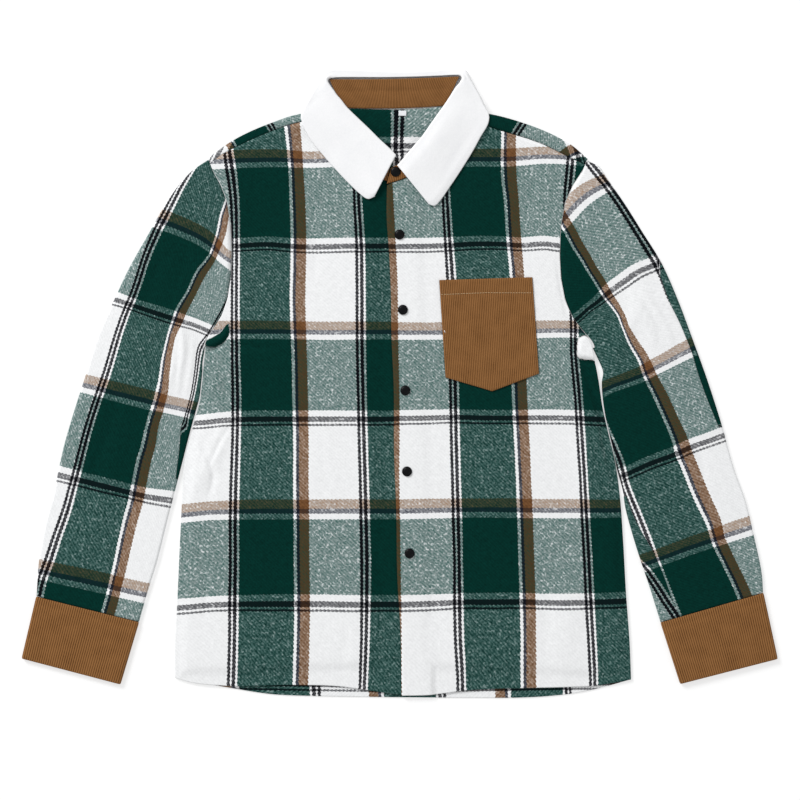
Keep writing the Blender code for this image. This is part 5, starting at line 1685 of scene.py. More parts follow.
@dataclass
class Cuff:
    """A closed corduroy band at the wrist, laid flat, with its wales along the sleeve."""

    side: str
    corners: Places
    height: float = 6.4
    ridge_share: float = 0.17
    ridge: float = 0.4
    ridge_width: float = 0.07
    ditch_share: float = 0.11
    ditch: float = 0.45
    ditch_width: float = 0.018
    rows: int = 30
    columns_a_wale: int = 6
    wale: float = 2.75
    length: float = 76.0

    def make(self) -> None:
        """Builds and dresses the cuff."""
        outer_top, inner_top, inner_foot, outer_foot = np.array(self.corners, float)
        radius = self.height / 2
        width = np.hypot(*(inner_top - outer_top))
        straight, bend = width - 2 * radius, math.pi * radius
        whole = 2 * straight + 2 * bend
        wales = round(whole / self.wale)
        count = wales * self.columns_a_wale
        place = np.arange(count) / count * whole
        phase = np.arange(count) / self.columns_a_wale
        rib = wale_height(phase)
        on_top = place < straight
        far = (place >= straight) & (place < straight + bend)
        below = (place >= straight + bend) & (place < 2 * straight + bend)
        angle = np.where(far, math.pi / 2 - (place - straight) / radius, 0.0)
        angle = np.where(~(on_top | far | below), -math.pi / 2 - (place - 2 * straight - bend) / radius, angle)
        angle = np.where(on_top, math.pi / 2, np.where(below, -math.pi / 2, angle))
        centre = np.where(on_top, place, np.where(far, straight, np.where(below, 2 * straight + bend - place, 0.0)))
        shares = np.concatenate([[0.0, 0.012], np.linspace(0.0, 1.0, self.rows)[1:-1], [0.988, 1.0]])
        outer, inner = [], []
        for share in shares:
            start = outer_top + (outer_foot - outer_top) * share
            end = inner_top + (inner_foot - inner_top) * share
            along = (end - start) / np.hypot(*(end - start))
            fit = (np.hypot(*(end - start)) - 2 * radius) / straight
            pinch = 0.5 * bell(min(share, 1.0 - share) * self.length / 1.1)
            top_lift = self.ridge * bell((share - self.ridge_share) / self.ridge_width)
            top_lift -= self.ditch * bell((share - self.ditch_share) / self.ditch_width)
            wave = 0.22 * np.sin(centre / straight * 5.1 + share * 2.0)
            wave += 0.15 * np.sin(centre / straight * 11.0 - share * 3.4)
            soft = np.where(angle > 0.3, top_lift + wave * math.sin(math.pi * share), 0.0)
            reach = radius - pinch + rib * RIB * np.where(below, 0.0, 1.0)
            core = radius - CORD_CLOTH + pinch
            lift = np.where(below, RIB * (1.0 - rib) + pinch, radius + reach * np.sin(angle) + soft)
            for face, away, z in (
                (outer, reach, np.maximum(lift, 0.0)), (inner, core, radius + core * np.sin(angle) + soft),
            ):
                across = radius + centre * fit + away * np.cos(angle)
                face.append(np.column_stack([start + along * across[:, None], z]))
        wale = np.append(phase, wales)
        weave = layered(wale[None], (shares * self.length)[:, None])
        name = f"cuff_band_{self.side}"
        piece = Piece(name, Slot.CORDUROY, CORDUROY, (f"cuff_{self.side}",)).place(
            walled_mesh(name, np.array(outer), np.array(inner), weave, closed=True, facing=(5, 100))
        )


def wale_height(phase: np.ndarray) -> np.ndarray:
    """Height of the wales, 0 in a valley and 1 on a crest, with valleys at whole numbers."""
    return 1.0 - np.abs(2.0 * (phase % 1.0) - 1.0) ** 2.4


@dataclass
class Pocket:
    """The pointed corduroy patch pocket on the left chest."""

    top: Places = ((47.5, 122.5), (159, 126))
    foot: Places = ((55, 6), (167, 10.5))
    point: tuple[float, float] = (111, -10.5)
    stitch_row: Places = ((0, 0.151), (0.25, 0.138), (0.5, 0.127), (0.75, 0.145), (1, 0.164))
    rows: int = 64
    columns_a_wale: int = 6
    side_length: float = 118.0
    point_length: float = 17.0
    wale_length: float = 125.0
    mouth: float = 24.0

    def length(self, s: np.ndarray) -> np.ndarray:
        """How long the pocket is at each share across, most at its point."""
        return self.side_length + self.point_length * (1.0 - np.abs(2 * s - 1.0))

    def belly(self, s: np.ndarray, t: np.ndarray, from_top: np.ndarray) -> np.ndarray:
        """How far the pocket stands off the front, most at its open mouth."""
        opening = 0.6 * np.sin(math.pi * s) ** 0.8 * (1.0 - smooth_step(from_top / self.mouth))
        return opening + 0.45 * np.sin(math.pi * s) * np.sin(math.pi * np.minimum(t * 1.1, 1.0))

    def plan(self, s: np.ndarray, t: np.ndarray) -> np.ndarray:
        """Points of the pocket in plan, by shares across and down."""
        first, last = np.array(self.top, float)
        foot_first, foot_last = np.array(self.foot, float)
        middle = np.array(self.point, float)
        s, t = s[..., None], t[..., None]
        head = first + (last - first) * s
        half = foot_first + (middle - foot_first) * np.minimum(2 * s, 1.0)
        foot = half + (foot_last - middle) * np.maximum(2 * s - 1.0, 0.0)
        return head + (foot - head) * t

    def stitched(self, s: np.ndarray) -> np.ndarray:
        """Share down at which the row across the opening is sewn, by the share across."""
        return np.interp(s, *np.array(self.stitch_row, float).T)

    def make(self, body: Body) -> None:
        """Builds and dresses the pocket on the left front.

        Args:
            body: The body that it is sewn to.
        """
        width = np.hypot(*np.subtract(self.top[1], self.top[0]))
        wales = round(width / WALE)
        count = wales * self.columns_a_wale + 1
        across = np.arange(count) / (count - 1)
        down = np.concatenate([[0.0, 0.006], np.linspace(0.0, 1.0, self.rows)[1:-1], [0.994, 1.0]])
        s, t = np.meshgrid(across, down)
        plan = self.plan(s, t)
        x, y = plan[..., 0], plan[..., 1]
        base, length = body.front_top(x, y) + SEAM, self.length(s)
        from_side, from_top = np.minimum(s, 1.0 - s) * width, t * length
        from_edge = np.minimum(from_side, (1.0 - t) * length)
        belly = self.belly(s, t, from_top)
        round_off = 0.55 * bell(np.minimum(from_edge, from_top))
        fold_over = 0.35 * smooth_step((7.0 - from_edge) / 3.0)
        ditch = 0.3 * bell((from_edge - 3.0) / 0.9) + 0.45 * bell((t - self.stitched(s)) * length / 1.1)
        seam_wave = 0.12 * np.sin(t * 31.0 + s * 4.0) * bell(from_side / 9.0)
        rib = wale_height(s * wales)
        outer = base + belly + POCKET_CLOTH + RIB * rib + fold_over - ditch - round_off + seam_wave
        inner = base + belly * 0.8
        weave = np.stack([s * wales, t * self.wale_length], axis=2)
        piece = Piece("pocket_patch", Slot.CORDUROY, CORDUROY, ("pocket",)).place(
            walled_mesh("pocket_patch", np.dstack([x, y, outer]), np.dstack([x, y, inner]), weave, facing=(20, 100))
        )


LEAF_FRONT_RIGHT = (
    (-4, 272, -30, 222, 10.6, 8.2, 180, 2.3, 0, 0), (-10, 278.5, -38.5, 219.5, 10.4, 7.8, 180, 2.3, 0, 0),
    (-17.5, 285.5, -48.5, 226.5, 10.2, 7.6, 180, 2.3, 0, 0), (-24.5, 292, -59, 236.5, 10.0, 7.6, 180, 2.3, 0, 0),
    (-35.5, 303, -74.5, 252.5, 10.2, 7.6, 180, 2.3, 0, 0), (-46, 313, -89, 269, 10.4, 7.8, 180, 2.3, 0, 0),
    (-56, 322.5, -101, 283, 10.9, 8.9, 180, 2.3, 0, 0), (-63, 329.5, -110.5, 297, 11.3, 9.8, 180, 2.3, 0, 0),
    (-69.5, 338, -116, 309.5, 11.8, 10.3, 180, 2.3, 0, 0), (-74, 343, -118, 318.5, 12.0, 10.4, 180, 2.3, 0, 0),
)
LEAF_BACK = (
    (-77.5, 348, -116, 327.5, 12.2, 10.4, 180, 2.3, -109, 326.5),
    (-80.5, 352, -111.5, 335, 12.3, 10.8, 180, 2.3, -104, 325),
    (-82.5, 355, -107, 344, 12.4, 11.2, 170, 2.6, -99, 324.5),
    (-84.3, 358, -101.5, 355, 12.4, 11.4, 150, 2.9, -93.5, 324),
    (-85.3, 360.6, -96.5, 364.5, 12.3, 11.2, 125, 2.9, -87, 324),
    (-84.8, 362.3, -92.5, 370, 11.9, 10.8, 95, 2.9, -82, 324),
    (-83, 363.2, -87.5, 374, 11.2, 10.2, 70, 2.7, -77.5, 324), (-80, 363.4, -81, 376.5, 10.3, 9.5, 45, 2.3, -71.5, 324),
    (-71.5, 363.4, -72, 377, 9.2, 8.9, 18, 2.3, -64, 324), (-47.5, 363.2, -47.5, 376, 8.4, 8.3, 5, 2.3, -45, 323.5),
    (-23.5, 363.1, -23.5, 375, 8.3, 8.3, 5, 2.3, -23.5, 323.5), (0.5, 363.4, 0.5, 374, 8.3, 8.3, 5, 2.3, 0.5, 323.5),
    (24.5, 364, 24.5, 374.6, 8.3, 8.3, 5, 2.3, 24.5, 323.5), (48.5, 365, 48.5, 376, 8.4, 8.3, 5, 2.3, 46, 324),
    (63, 366.1, 64, 377, 9.3, 9.0, 18, 2.3, 59.5, 324.5), (69.5, 366.6, 73.5, 376.2, 10.6, 9.8, 45, 2.7, 65, 324.5),
    (72.6, 366.2, 81, 372.5, 11.5, 10.4, 80, 2.9, 70, 324.5), (74.2, 363.9, 86.5, 362, 12.1, 11.0, 115, 2.9, 76, 324.5),
    (73.2, 361.2, 93, 350, 12.4, 11.2, 145, 2.9, 83, 324.5), (71, 357.5, 98.5, 340, 12.4, 11.0, 170, 2.6, 89, 325),
    (67, 353, 103, 330, 12.2, 10.5, 180, 2.3, 96, 326.5),
)
LEAF_FRONT_LEFT = (
    (64, 348.5, 107, 319.5, 12.0, 10.4, 180, 2.3, 0, 0), (60, 342, 105.5, 308, 11.8, 10.3, 180, 2.3, 0, 0),
    (53, 331.5, 97, 293.5, 11.4, 9.2, 180, 2.3, 0, 0), (45, 320.5, 88, 277, 11.4, 8.2, 180, 2.3, 0, 0),
    (35.5, 307, 78.5, 261.5, 11.4, 7.8, 180, 2.3, 0, 0), (26, 293.5, 68.5, 246, 11.6, 7.8, 180, 2.3, 0, 0),
    (17, 283, 59, 232, 11.8, 8.0, 170, 2.3, 0, 0), (8.5, 273, 50, 219, 12.0, 8.2, 150, 2.3, 0, 0),
    (2, 265, 42.5, 211.5, 12.0, 8.4, 120, 2.3, 0, 0), (-3, 259.5, 35, 213, 12.0, 8.6, 90, 2.3, 0, 0),
)


@dataclass
class Collar:
    """The white leaf, the corduroy stand that it is sewn to, and the bare loop label below it."""

    front_right: Places = LEAF_FRONT_RIGHT
    behind: Places = LEAF_BACK
    front_left: Places = LEAF_FRONT_LEFT
    rows_a_section: int = 5
    top_columns: int = 44
    turn_columns: int = 12
    under_columns: int = 8
    stand_seam: Places = ((-68, 329.2), (55, 331.6))
    stand_top: Places = ((-84, 362.6), (71.5, 366))
    seam_dip: float = 2.0
    top_dip: float = 1.2
    seam_z: float = 2.3
    top_z: float = 6.0
    stand_height: float = 36.0
    end_height: float = 24.0
    crease_share: float = 0.6
    crease: float = 0.5
    band_left: Places = (
        (0.0, -10.4, 256.5, 5.5, 5.5), (1 / 7, 3, 263.5, 5.5, 5.6), (2 / 7, 12, 270.5, 5.2, 6.1),
        (3 / 7, 23.5, 284, 4.8, 6.8), (4 / 7, 34, 298, 4.3, 6.8), (5 / 7, 44, 311.5, 4.3, 6.8),
        (6 / 7, 54.5, 326, 5.2, 6.8), (1.0, 67, 344.5, 6.3, 7.3),
    )
    band_right: Places = (
        (0.22, -10, 269.5, 2.8, 3.1), (2 / 7, -14.5, 276.5, 3.0, 3.6), (3 / 7, -26.8, 287.8, 3.8, 5.2),
        (4 / 7, -38, 298.8, 4.0, 5.4), (5 / 7, -50.5, 310.6, 4.0, 5.8), (6 / 7, -66, 325.5, 5.1, 6.3),
        (1.0, -79, 340.7, 6.2, 7.2),
    )
    band_gap: float = 0.8
    puff: float = 1.3
    label_centre: tuple[float, float] = (3.6, 322.4)
    label_width: float = 9.2
    label_length: float = 6.2
    label_bend: float = 0.5
    label_tape: float = 0.42

    def leaf_section(self, section: Sequence[float], puff: float) -> np.ndarray:
        """Points of one section of the leaf, from its roll outwards and, behind, round to its hidden edge.

        Args:
            section: Roll, rim, their heights, turn, curl and hidden edge.
            puff: How far the leaf stands up inside its sewn rim.

        Returns:
            One row for each column of the leaf.
        """
        roll_x, roll_y, rim_x, rim_y, roll_z, rim_z, turn, curl, hem_x, hem_y = section
        roll = np.array([roll_x, roll_y])
        reach = math.hypot(rim_x - roll_x, rim_y - roll_y)
        out = (np.array([rim_x, rim_y]) - roll) / reach
        behind = hem_y > 0
        radius = rim_z / 2 if behind else 0.0
        turned = np.radians(turn) * np.linspace(1.0, 0.0, 25)
        curled = np.stack([curl - curl * np.sin(turned), roll_z - curl + curl * np.cos(turned)], axis=1)
        share = np.linspace(0.0, 1.0, 33)[1:]
        fall = np.stack(
            [curl + (reach - radius - curl) * share, roll_z + (rim_z - roll_z) * smooth_step(share)], axis=1
        )
        fall[:, 1] += puff * smooth_step((1.0 - share) * reach / 8.0) * smooth_step(share * 5.0)
        path = np.concatenate([curled, fall])
        split, turns = math.radians(45.0), np.zeros((0, 2))
        if behind:
            angle = split * np.linspace(0.0, 1.0, 7)[1:]
            path = np.concatenate([path, self._round(reach, radius, angle)])
            rest = np.linspace(0.0, 1.0, self.turn_columns + 1)[1:]
            turns = self._round(reach, radius, split + (math.pi - split) * rest)
        stops = way_stops(path)
        step = min(1.6, stops[-1] * 0.6 / 5)
        near = np.linspace(0.0, 5 * step, 15)
        far = np.linspace(near[-1], stops[-1] - 1.0, self.top_columns - 16)[1:]
        where = np.concatenate([near, far, [stops[-1] - 0.45, stops[-1]]])
        flat = read_off(where, stops, path)
        if not behind:
            flat[-1, 1] -= 0.6
            flat[-2, 1] -= 0.2
        flat = np.concatenate([flat, turns])
        points = np.column_stack([roll + out * flat[:, :1], flat[:, 1]])
        if not behind:
            return np.concatenate([points, np.repeat(points[-1:], self.turn_columns + self.under_columns, axis=0)])
        last, hem = points[-1, :2], np.array([hem_x, hem_y])
        under = last + (hem - last) * np.linspace(0.0, 1.0, self.under_columns + 1)[1:, None]
        return np.concatenate([points, np.column_stack([under, np.zeros(self.under_columns)])])

    @staticmethod
    def _round(reach: float, radius: float, angle: np.ndarray) -> np.ndarray:
        """Points of the leaf's fold to its underside."""
        return np.stack([reach - radius + radius * np.sin(angle), radius + radius * np.cos(angle)], axis=1)

    def leaf(self) -> None:
        """Builds and dresses the turned-down leaf."""
        sections = (*self.front_right, *self.behind, *self.front_left)
        stops = np.arange(len(sections), dtype=float)
        past = np.maximum(len(self.front_right) - 1 - stops, stops - len(self.front_right) - len(self.behind))
        puffs = self.puff * smooth_step(past / 5.0)
        points = np.array([self.leaf_section(section, puff) for section, puff in zip(sections, puffs)])
        places = np.linspace(0.0, stops[-1], (len(sections) - 1) * self.rows_a_section + 1)
        places = np.concatenate([[0.0, 0.06], places[1:-1], [stops[-1] - 0.06, stops[-1]]])
        columns = len(points[0]) - self.turn_columns - self.under_columns
        grid = hermite(stops, points, places)
        first, last = len(self.front_right), len(self.front_right) + len(self.behind) - 1
        inside = (places >= first) & (places <= last)
        grid[inside, columns:] = hermite(stops[first : last + 1], points[first : last + 1, columns:], places[inside])
        x, y = grid[..., 0], grid[..., 1]
        soft = relief(LEAF_CREASES, x, y)
        soft[:, columns:] = 0.0
        fade = smooth_step((np.arange(grid.shape[1]) - 4) / 8.0)[None]
        grid[..., 2] += soft * fade
        for row, drop in ((0, 0.6), (1, 0.1), (-1, 0.6), (-2, 0.1)):
            grid[row, :columns, 2] -= drop
        inner = (places[:-1] >= first - 1e-6) & (places[1:] <= last + 1e-6)
        kept = (np.arange(grid.shape[1] - 1)[None] < columns - 1) | inner[:, None]
        weave = layered(places[:, None] * 12.0, np.arange(grid.shape[1])[None] * 1.4)
        piece = Piece("collar_leaf", Slot.WHITE, COLLAR_WHITE, ("collar_fall",)).place(
            grid_mesh("collar_leaf", grid, weave, kept=kept), COLLAR_CLOTH, 1.0
        )

    def stand_back(self) -> None:
        """Builds and dresses the neck part of the stand, whose inside shows."""
        (seam_right, seam_left), (top_right, top_left) = np.array(self.stand_seam), np.array(self.stand_top)
        wales = round(np.hypot(*(top_left - top_right)) / WALE)
        count = wales * 6 + 1
        s, t = np.meshgrid(np.arange(count) / (count - 1), np.linspace(0.0, 1.0, 26))
        sag = 4 * s * (1 - s)
        seam = [seam_right[k] + (seam_left[k] - seam_right[k]) * s - (k == 1) * self.seam_dip * sag for k in (0, 1)]
        top = [top_right[k] + (top_left[k] - top_right[k]) * s - (k == 1) * self.top_dip * sag for k in (0, 1)]
        x, y = (seam[k] + (top[k] - seam[k]) * t for k in (0, 1))
        z = self.seam_z + (self.top_z - self.seam_z) * t
        crease = self.crease * bell((t - self.crease_share) / 0.08) * np.sin(math.pi * s) ** 0.3
        bulge = 0.35 * np.sin(math.pi * np.minimum(t / self.crease_share, 1.0)) * np.sin(math.pi * s) ** 0.5
        outer = z + CORD_CLOTH - crease + bulge + RIB * wale_height(s * wales) - 0.4 * bell(t / 0.03)
        weave = np.stack([s * wales, t * self.stand_height], axis=2)
        piece = Piece("collar_stand_inside", Slot.CORDUROY, CORDUROY, ("collar_stand_back",)).place(
            walled_mesh("collar_stand_inside", np.dstack([x, y, outer]), np.dstack([x, y, z]), weave, facing=(10, 100))
        )

    def band(self, name: str, node: str, neck: Places, sections: Places) -> None:
        """Builds and dresses a front end of the stand.

        Args:
            name: The piece's name.
            node: The solid that it replaces.
            neck: The front's neck seam.
            sections: The neck share, top and heights of each section.
        """
        rows = np.array(sections)
        seams = smooth_line(neck)(rows[:, 0])
        tops = rows[:, 1:3]
        seams = seams - edge_ways(seams, tops) * self.band_gap
        stops = way_stops((seams + tops) / 2)
        wales = round(stops[-1] / WALE)
        places = np.linspace(0.0, stops[-1], wales * 6 + 1)
        low, high = hermite(stops, seams, places), hermite(stops, tops, places)
        heights = hermite(stops, rows[:, 3:5], places)
        t = np.linspace(0.0, 1.0, 20)[:, None]
        plan = low[None] + (high - low)[None] * t[..., None]
        z = heights[:, 0] + (heights[:, 1] - heights[:, 0]) * t
        phase = places / stops[-1] * wales
        edge = np.minimum(t * self.end_height, places[None])
        outer = z + CORD_CLOTH + RIB * (wale_height(phase)[None] - 0.4) - 0.5 * bell(edge)
        weave = layered(phase[None], t * self.end_height)
        piece = Piece(name, Slot.CORDUROY, CORDUROY, (node,)).place(
            walled_mesh(name, np.dstack([plan, outer]), np.dstack([plan, z]), weave, facing=(5, 30))
        )

    def label(self) -> None:
        """Builds and dresses the small bare loop label, a tape folded in two."""
        cx, cy = self.label_centre
        half, length, bend = self.label_width / 2, self.label_length, self.label_bend
        base = NECK_RISE + CLOTH + SEAM
        turn = np.radians(np.linspace(-90.0, 90.0, 9))
        lower = [(v, 0.0) for v in np.linspace(length / 2, -length / 2 + bend, 10)]
        turned = [(-length / 2 + bend - bend * math.cos(a), bend + bend * math.sin(a)) for a in turn[1:-1]]
        upper = [(v, 2 * bend + 0.12 * math.sin(math.pi * (v + length / 2) / length)) for v, _ in lower[::-1]]
        line = np.array(lower + turned + upper)
        u = np.linspace(-half, half, 22)
        grid = layered(cx + u[None], cy + line[:, :1], base + line[:, 1:])
        weave = layered(u[None] / WARP_REPEAT, np.arange(len(line))[:, None] * 0.003)
        piece = Piece("loop_label", Slot.WHITE, TAPE_WHITE, ("neck_label",)).place(
            grid_mesh("loop_label", grid, weave, facing=(2, 4)), self.label_tape, 1.0
        )

    def make(self, body: Body) -> None:
        """Builds and dresses the whole collar.

        Args:
            body: The body whose neck seam it is sewn to.
        """
        self.leaf()
        self.stand_back()
        self.band("collar_stand_end_right", "collar_stand_right", body.neck_right, self.band_right)
        self.band("collar_stand_end_left", "collar_stand_left", body.neck_left, self.band_left)
        self.label()


LEAF_CREASES = (
    Crease(((309, 121), (330, 142), (350, 162), (368, 186)), -0.5, 9.0, 0.3),
    Crease(((480, 120), (466, 142), (452, 164), (440, 190)), -0.5, 9.0, 0.3),
    Crease(((328, 106), (344, 128), (362, 148), (376, 172)), 0.4, 10.0),
    Crease(((462, 102), (452, 126), (436, 146), (424, 172)), 0.4, 10.0),
)


@dataclass
class Snaps:
    """Six domed snap caps: one on the stand and five down the front."""

    places: Places = ((-4.6, 252), (0, 177), (4, 87), (7, -9.5), (9, -106.5), (12, -204.5))
    radius: float = 6.0
    height: float = 2.4
    neck_height: float = 1.8
    stand: float = 5.5
    turns: int = 48
    profile: Places = (
        (0.0, 1.0), (0.2, 0.992), (0.4, 0.955), (0.58, 0.88), (0.72, 0.77), (0.80, 0.66), (0.835, 0.58),
        (0.86, 0.55), (0.89, 0.57), (0.93, 0.56), (0.97, 0.46), (0.995, 0.3), (1.0, 0.16), (0.99, 0.04),
        (0.94, 0.0), (0.5, 0.0), (0.0, 0.0),
    )

    def make(self, body: Body) -> None:
        """Builds and dresses the caps.

        Args:
            body: The body whose front they close.
        """
        for number, (x, y) in enumerate(self.places, start=1):
            if number == 1:
                base, height = self.stand + CORD_CLOTH + SEAM, self.neck_height
            else:
                base = float(body.front_inside(np.array([x]), np.array([y]))[0]) + DOUBLE_CLOTH + SEAM
                height = self.height
            self._cap(f"snap_{number}", x, y, base, height)

    def _cap(self, node: str, x: float, y: float, base: float, height: float) -> None:
        """Turns one cap from its profile.

        Args:
            node: The solid that it replaces.
            x: Its middle.
            y: Its middle.
            base: What it stands on.
            height: How high its dome is.
        """
        rows = np.array(self.profile[1:-1])
        turn = np.linspace(0.0, 2 * math.pi, self.turns, endpoint=False)
        ring = np.stack([
            x + self.radius * rows[:, :1] * np.cos(turn), y + self.radius * rows[:, :1] * np.sin(turn),
            np.broadcast_to(base + height * rows[:, 1:], (len(rows), self.turns)),
        ], axis=2)
        points = np.concatenate([ring.reshape(-1, 3), [[x, y, base + height], [x, y, base]]])
        last, count = len(rows) - 1, self.turns
        faces = [
            (i * count + j, (i + 1) * count + j, (i + 1) * count + (j + 1) % count, i * count + (j + 1) % count)
            for i in range(last) for j in range(count)
        ]
        faces += [(len(points) - 2, j, (j + 1) % count) for j in range(count)]
        faces += [(len(points) - 1, last * count + (j + 1) % count, last * count + j) for j in range(count)]
        mesh = bpy.data.meshes.new(f"{node}_cap")
        mesh.from_pydata((points * MM).tolist(), [], faces)
        Piece(f"{node}_cap", Slot.SNAP, SNAP_BLACK, (node,)).place(mesh)


@dataclass
class Stitching:
    """Rows of thread: across the pocket, round its edge, and a small tack at its side."""

    length: float = 2.6
    gap: float = 0.7
    thick: float = 0.5
    rings: tuple[float, ...] = (0.0, 0.15, 0.5, 0.85, 1.0)
    sides: int = 6
    inset: float = 3.0
    pocket_width: float = 111.6
    tack: Places = ((0.012, 0.512), (0.03, 0.519), (0.018, 0.527), (0.034, 0.537))

    def run(self, name: str, finish: ThreadFinish, ends: Sequence[tuple[np.ndarray, np.ndarray]]) -> None:
        """Builds one run of stitches, each a small round-ended tube that dips at both ends.

        Args:
            name: The run's name.
            finish: Its thread.
            ends: Where each stitch starts and ends, on the cloth.
        """
        points, faces, up = [], [], np.array([0.0, 0.0, 1.0])
        for start, end in ends:
            along = (end - start) / np.linalg.norm(end - start)
            side = np.cross(up, along)
            side /= np.linalg.norm(side)
            first, sides = len(points), self.sides
            for share in self.rings:
                size = self.thick / 2 * (0.45 if share in (0.0, 1.0) else 1.0)
                sink = 0.25 * (1.0 - math.sin(math.pi * share))
                middle = start + (end - start) * share + up * (self.thick * 0.25 - sink)
                for k in range(sides):
                    angle = 2 * math.pi * k / sides
                    points.append(middle + side * size * math.cos(angle) + up * (size * math.sin(angle)))
            for i in range(len(self.rings) - 1):
                for k in range(sides):
                    a, b = first + sides * i + k, first + sides * i + (k + 1) % sides
                    faces.append((a, a + sides, b + sides, b))
            faces.append(tuple(range(first, first + sides)))
            faces.append(tuple(reversed(range(len(points) - sides, len(points)))))
        mesh = bpy.data.meshes.new(name)
        mesh.from_pydata((np.array(points) * MM).tolist(), [], faces)
        Piece(name, Slot.CORDUROY, finish).place(mesh)

    def along(self, line: np.ndarray) -> list[tuple[np.ndarray, np.ndarray]]:
        """Stitches set out evenly along a line of points."""
        stops = np.concatenate([[0.0], np.cumsum(np.linalg.norm(np.diff(line, axis=0), axis=1))])
        starts = np.arange(0.5, stops[-1] - self.length, self.length + self.gap)
        return list(zip(read_off(starts, stops, line), read_off(starts + self.length, stops, line)))

    def make(self, body: Body, pocket: Pocket) -> None:
        """Builds and dresses the runs.

        Args:
            body: The body, for the height of the cloth.
            pocket: The pocket that they hold.
        """
        s = np.linspace(0.006, 0.994, 60)
        across = self.on_pocket(body, pocket, s, pocket.stitched(s) - 0.002)
        self.run("pocket_hem_stitches", POCKET_THREAD, self.along(across))
        tack = self.on_pocket(body, pocket, *np.array(self.tack).T)
        self.run("pocket_side_tack", WHITE_THREAD, [(tack[0], tack[1]), (tack[2], tack[3]), (tack[0], tack[3])])
        first = self.inset / self.pocket_width
        down = np.linspace(0.012, 0.975, 60)
        for name, share in (("pocket_edge_stitches_first", first), ("pocket_edge_stitches_last", 1 - first)):
            self.run(name, BROWN_THREAD, self.along(self.on_pocket(body, pocket, np.full(60, share), down)))
        s = np.linspace(first, 1 - first, 90)
        foot = self.on_pocket(body, pocket, s, 1.0 - self.inset / pocket.length(s))
        self.run("pocket_foot_stitches", BROWN_THREAD, self.along(foot))

    @staticmethod
    def on_pocket(body: Body, pocket: Pocket, s: np.ndarray, t: np.ndarray) -> np.ndarray:
        """Points on the pocket's face by shares across and down."""
        plan = pocket.plan(s, t)
        height = body.front_top(plan[:, 0], plan[:, 1]) + SEAM + POCKET_CLOTH + RIB * 0.6
        return np.column_stack([plan, height + pocket.belly(s, t, t * pocket.wale_length)])


@dataclass
class Stage:
    """The pale surface that the shirt lies on, soft light and the camera above it."""

    height: float = 2.4
    lens: float = 90.0
    sensor: float = 36.0
    sight: float = 20.0
    aim: tuple[float, float] = (0.0006, -0.021)
    radius: float = 3.0
    sides: int = 96
    grey: float = 0.45
    glow: float = 0.58
    room_light: float = 0.53

    def floor(self) -> None:
        """Lays the pale surface."""
        mesh = bpy.data.meshes.new("floor")
        turns = np.linspace(0, 2 * math.pi, self.sides, endpoint=False)
        rim = [(self.radius * math.cos(a), self.radius * math.sin(a), 0.0) for a in turns]
        mesh.from_pydata(rim, [], [tuple(range(self.sides))])
        mesh.materials.append(Shade("pale_surface").dressed(
            Base_Color=(self.grey, self.grey, self.grey, 1.0), Emission_Color=(1.0, 1.0, 1.0, 1.0),
            Emission_Strength=self.glow, Roughness=0.95, Specular_IOR_Level=0.0,
        ))
        made = linked("floor", mesh)

    def lights(self) -> None:
        """Hangs one large soft light and a bright room round it."""
        world = bpy.data.worlds.new("room")
        bpy.context.scene.world = world
        world.use_nodes = True
        room = world.node_tree.nodes["Background"]
        room.inputs["Color"].default_value = (1.0, 1.0, 1.0, 1.0)
        room.inputs["Strength"].default_value = self.room_light
        for name, place, size, power in (
            ("key_light", (-4.2, 4.7, 4.2), 2.6, 470.0),
            ("fill_light", (3.6, -2.8, 4.8), 4.0, 40.0),
        ):
            data = bpy.data.lights.new(name, "AREA")
            data.energy = power
            data.size = size
            made = linked(name, data)
            made.location = place
            made.rotation_euler = (-Vector(place)).to_track_quat("-Z", "Y").to_euler()

    def camera(self) -> None:
        """Sets the camera straight above the shirt."""
        data = bpy.data.cameras.new("camera")
        data.lens = self.lens
        data.sensor_width = self.sensor
        data.clip_end = self.sight
        made = linked("camera", data)
        made.location = (*self.aim, self.height)
        bpy.context.scene.camera = made

    def make(self) -> None:
        """Sets the stage."""
        self.floor()
        self.lights()
        self.camera()
        bpy.context.scene.view_settings.view_transform = "Standard"


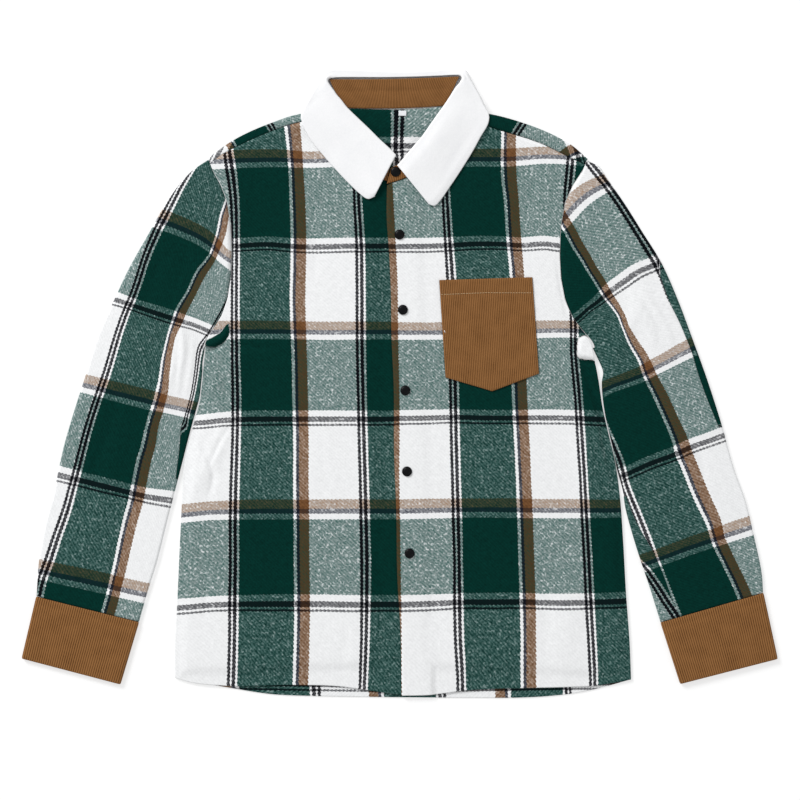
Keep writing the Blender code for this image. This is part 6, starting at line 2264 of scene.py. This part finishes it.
SLEEVE_SECTIONS_RIGHT = (
    (-230.9, 268.9, -233.1, 43, 0, 0.0), (-247, 255, -234.3, 35, 8, 0.2), (-261, 241, -236, 25, -6, 0.4),
    (-279, 216, -236.2, 14, -10, 0.7), (-302, 176, -237.6, 0, -10, 0.9), (-325, 135, -239.8, -18, -7, 1.0),
    (-342, 99, -244.6, -36, -3, 1.0), (-359.5, 61.5, -250.7, -58, 0, 0.9), (-378, 3, -259.1, -91, 0, 0.8),
    (-392.5, -42.5, -266, -118, 0, 0.8), (-402.5, -77.5, -274, -149, 0, 0.9), (-415, -134, -282.5, -183, 0, 0.8),
    (-423.5, -165, -290, -213, 0, 0.7), (-432, -213, -302, -251, 0, 0.6), (-435, -256, -312.2, -286.6, 0, 0.6),
)
SLEEVE_SECTIONS_LEFT = (
    (226.6, 267.5, 231.7, 41, 0, 0.0), (237.5, 260, 237, 30, -8, 0.2), (248, 245.5, 243.5, 15, 5, 0.4),
    (269, 215.5, 242.4, 0, 8, 0.7), (291, 180.5, 243.4, -17, 8, 0.9), (312.5, 146, 246.3, -38, 6, 1.0),
    (333.5, 99.5, 251.1, -59.5, 3, 1.0), (349.5, 57, 255.3, -77.5, 0, 0.9), (369, 3, 260.9, -105, 0, 0.8),
    (384.5, -45, 267, -127, 0, 0.8), (401.5, -105, 271.5, -154, 0, 0.9), (414.5, -141, 279.5, -183, 0, 0.8),
    (424, -180.5, 288.5, -212, 0, 0.7), (434, -227.5, 301, -249, 0, 0.6), (435.8, -251.6, 312.8, -287, 0, 0.6),
)


def report() -> None:
    """Logs how low and how high each piece reaches in millimetres, and its triangles."""
    graph = bpy.context.evaluated_depsgraph_get()
    total = 0
    for made in bpy.data.objects:
        if made.type != "MESH" or made.hide_render:
            continue
        mesh = made.evaluated_get(graph).to_mesh()
        heights = [vert.co.z / MM for vert in mesh.vertices]
        count = sum(len(face.vertices) - 2 for face in mesh.polygons)
        total += count
        LOG.info("%s: z %.2f to %.2f, %d triangles", made.name, min(heights), max(heights), count)
    LOG.info("%d triangles in all", total)


def main() -> None:
    """Builds the shirt piece by piece and sets its stage."""
    logging.basicConfig(level=logging.INFO, format="%(name)s: %(message)s")
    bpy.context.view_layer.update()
    stage = Stage()
    stage.make()
    body = Body()
    body.make()
    Sleeve(
        "right", body.tip_right, body.underarm_right, body.arch_right, SLEEVE_SECTIONS_RIGHT,
        CheckMap(SLEEVE_RIGHT_WARPS, SLEEVE_RIGHT_WEFTS), SLEEVE_RIGHT_TUCKS,
    ).make(body)
    Sleeve(
        "left", body.tip_left, body.underarm_left, body.arch_left, SLEEVE_SECTIONS_LEFT,
        CheckMap(SLEEVE_LEFT_WARPS, SLEEVE_LEFT_WEFTS), SLEEVE_LEFT_TUCKS,
    ).make(body)
    Cuff("right", ((-435.1, -256.45), (-312.3, -287.05), (-334.5, -361.5), (-452.5, -330.5))).make()
    Cuff("left", ((435.9, -252.05), (312.9, -287.45), (336.5, -361), (453, -331))).make()
    pocket = Pocket()
    pocket.make(body)
    Collar().make(body)
    Snaps().make(body)
    Stitching().make(body, pocket)
    report()


if __name__ == "__main__":
    main()
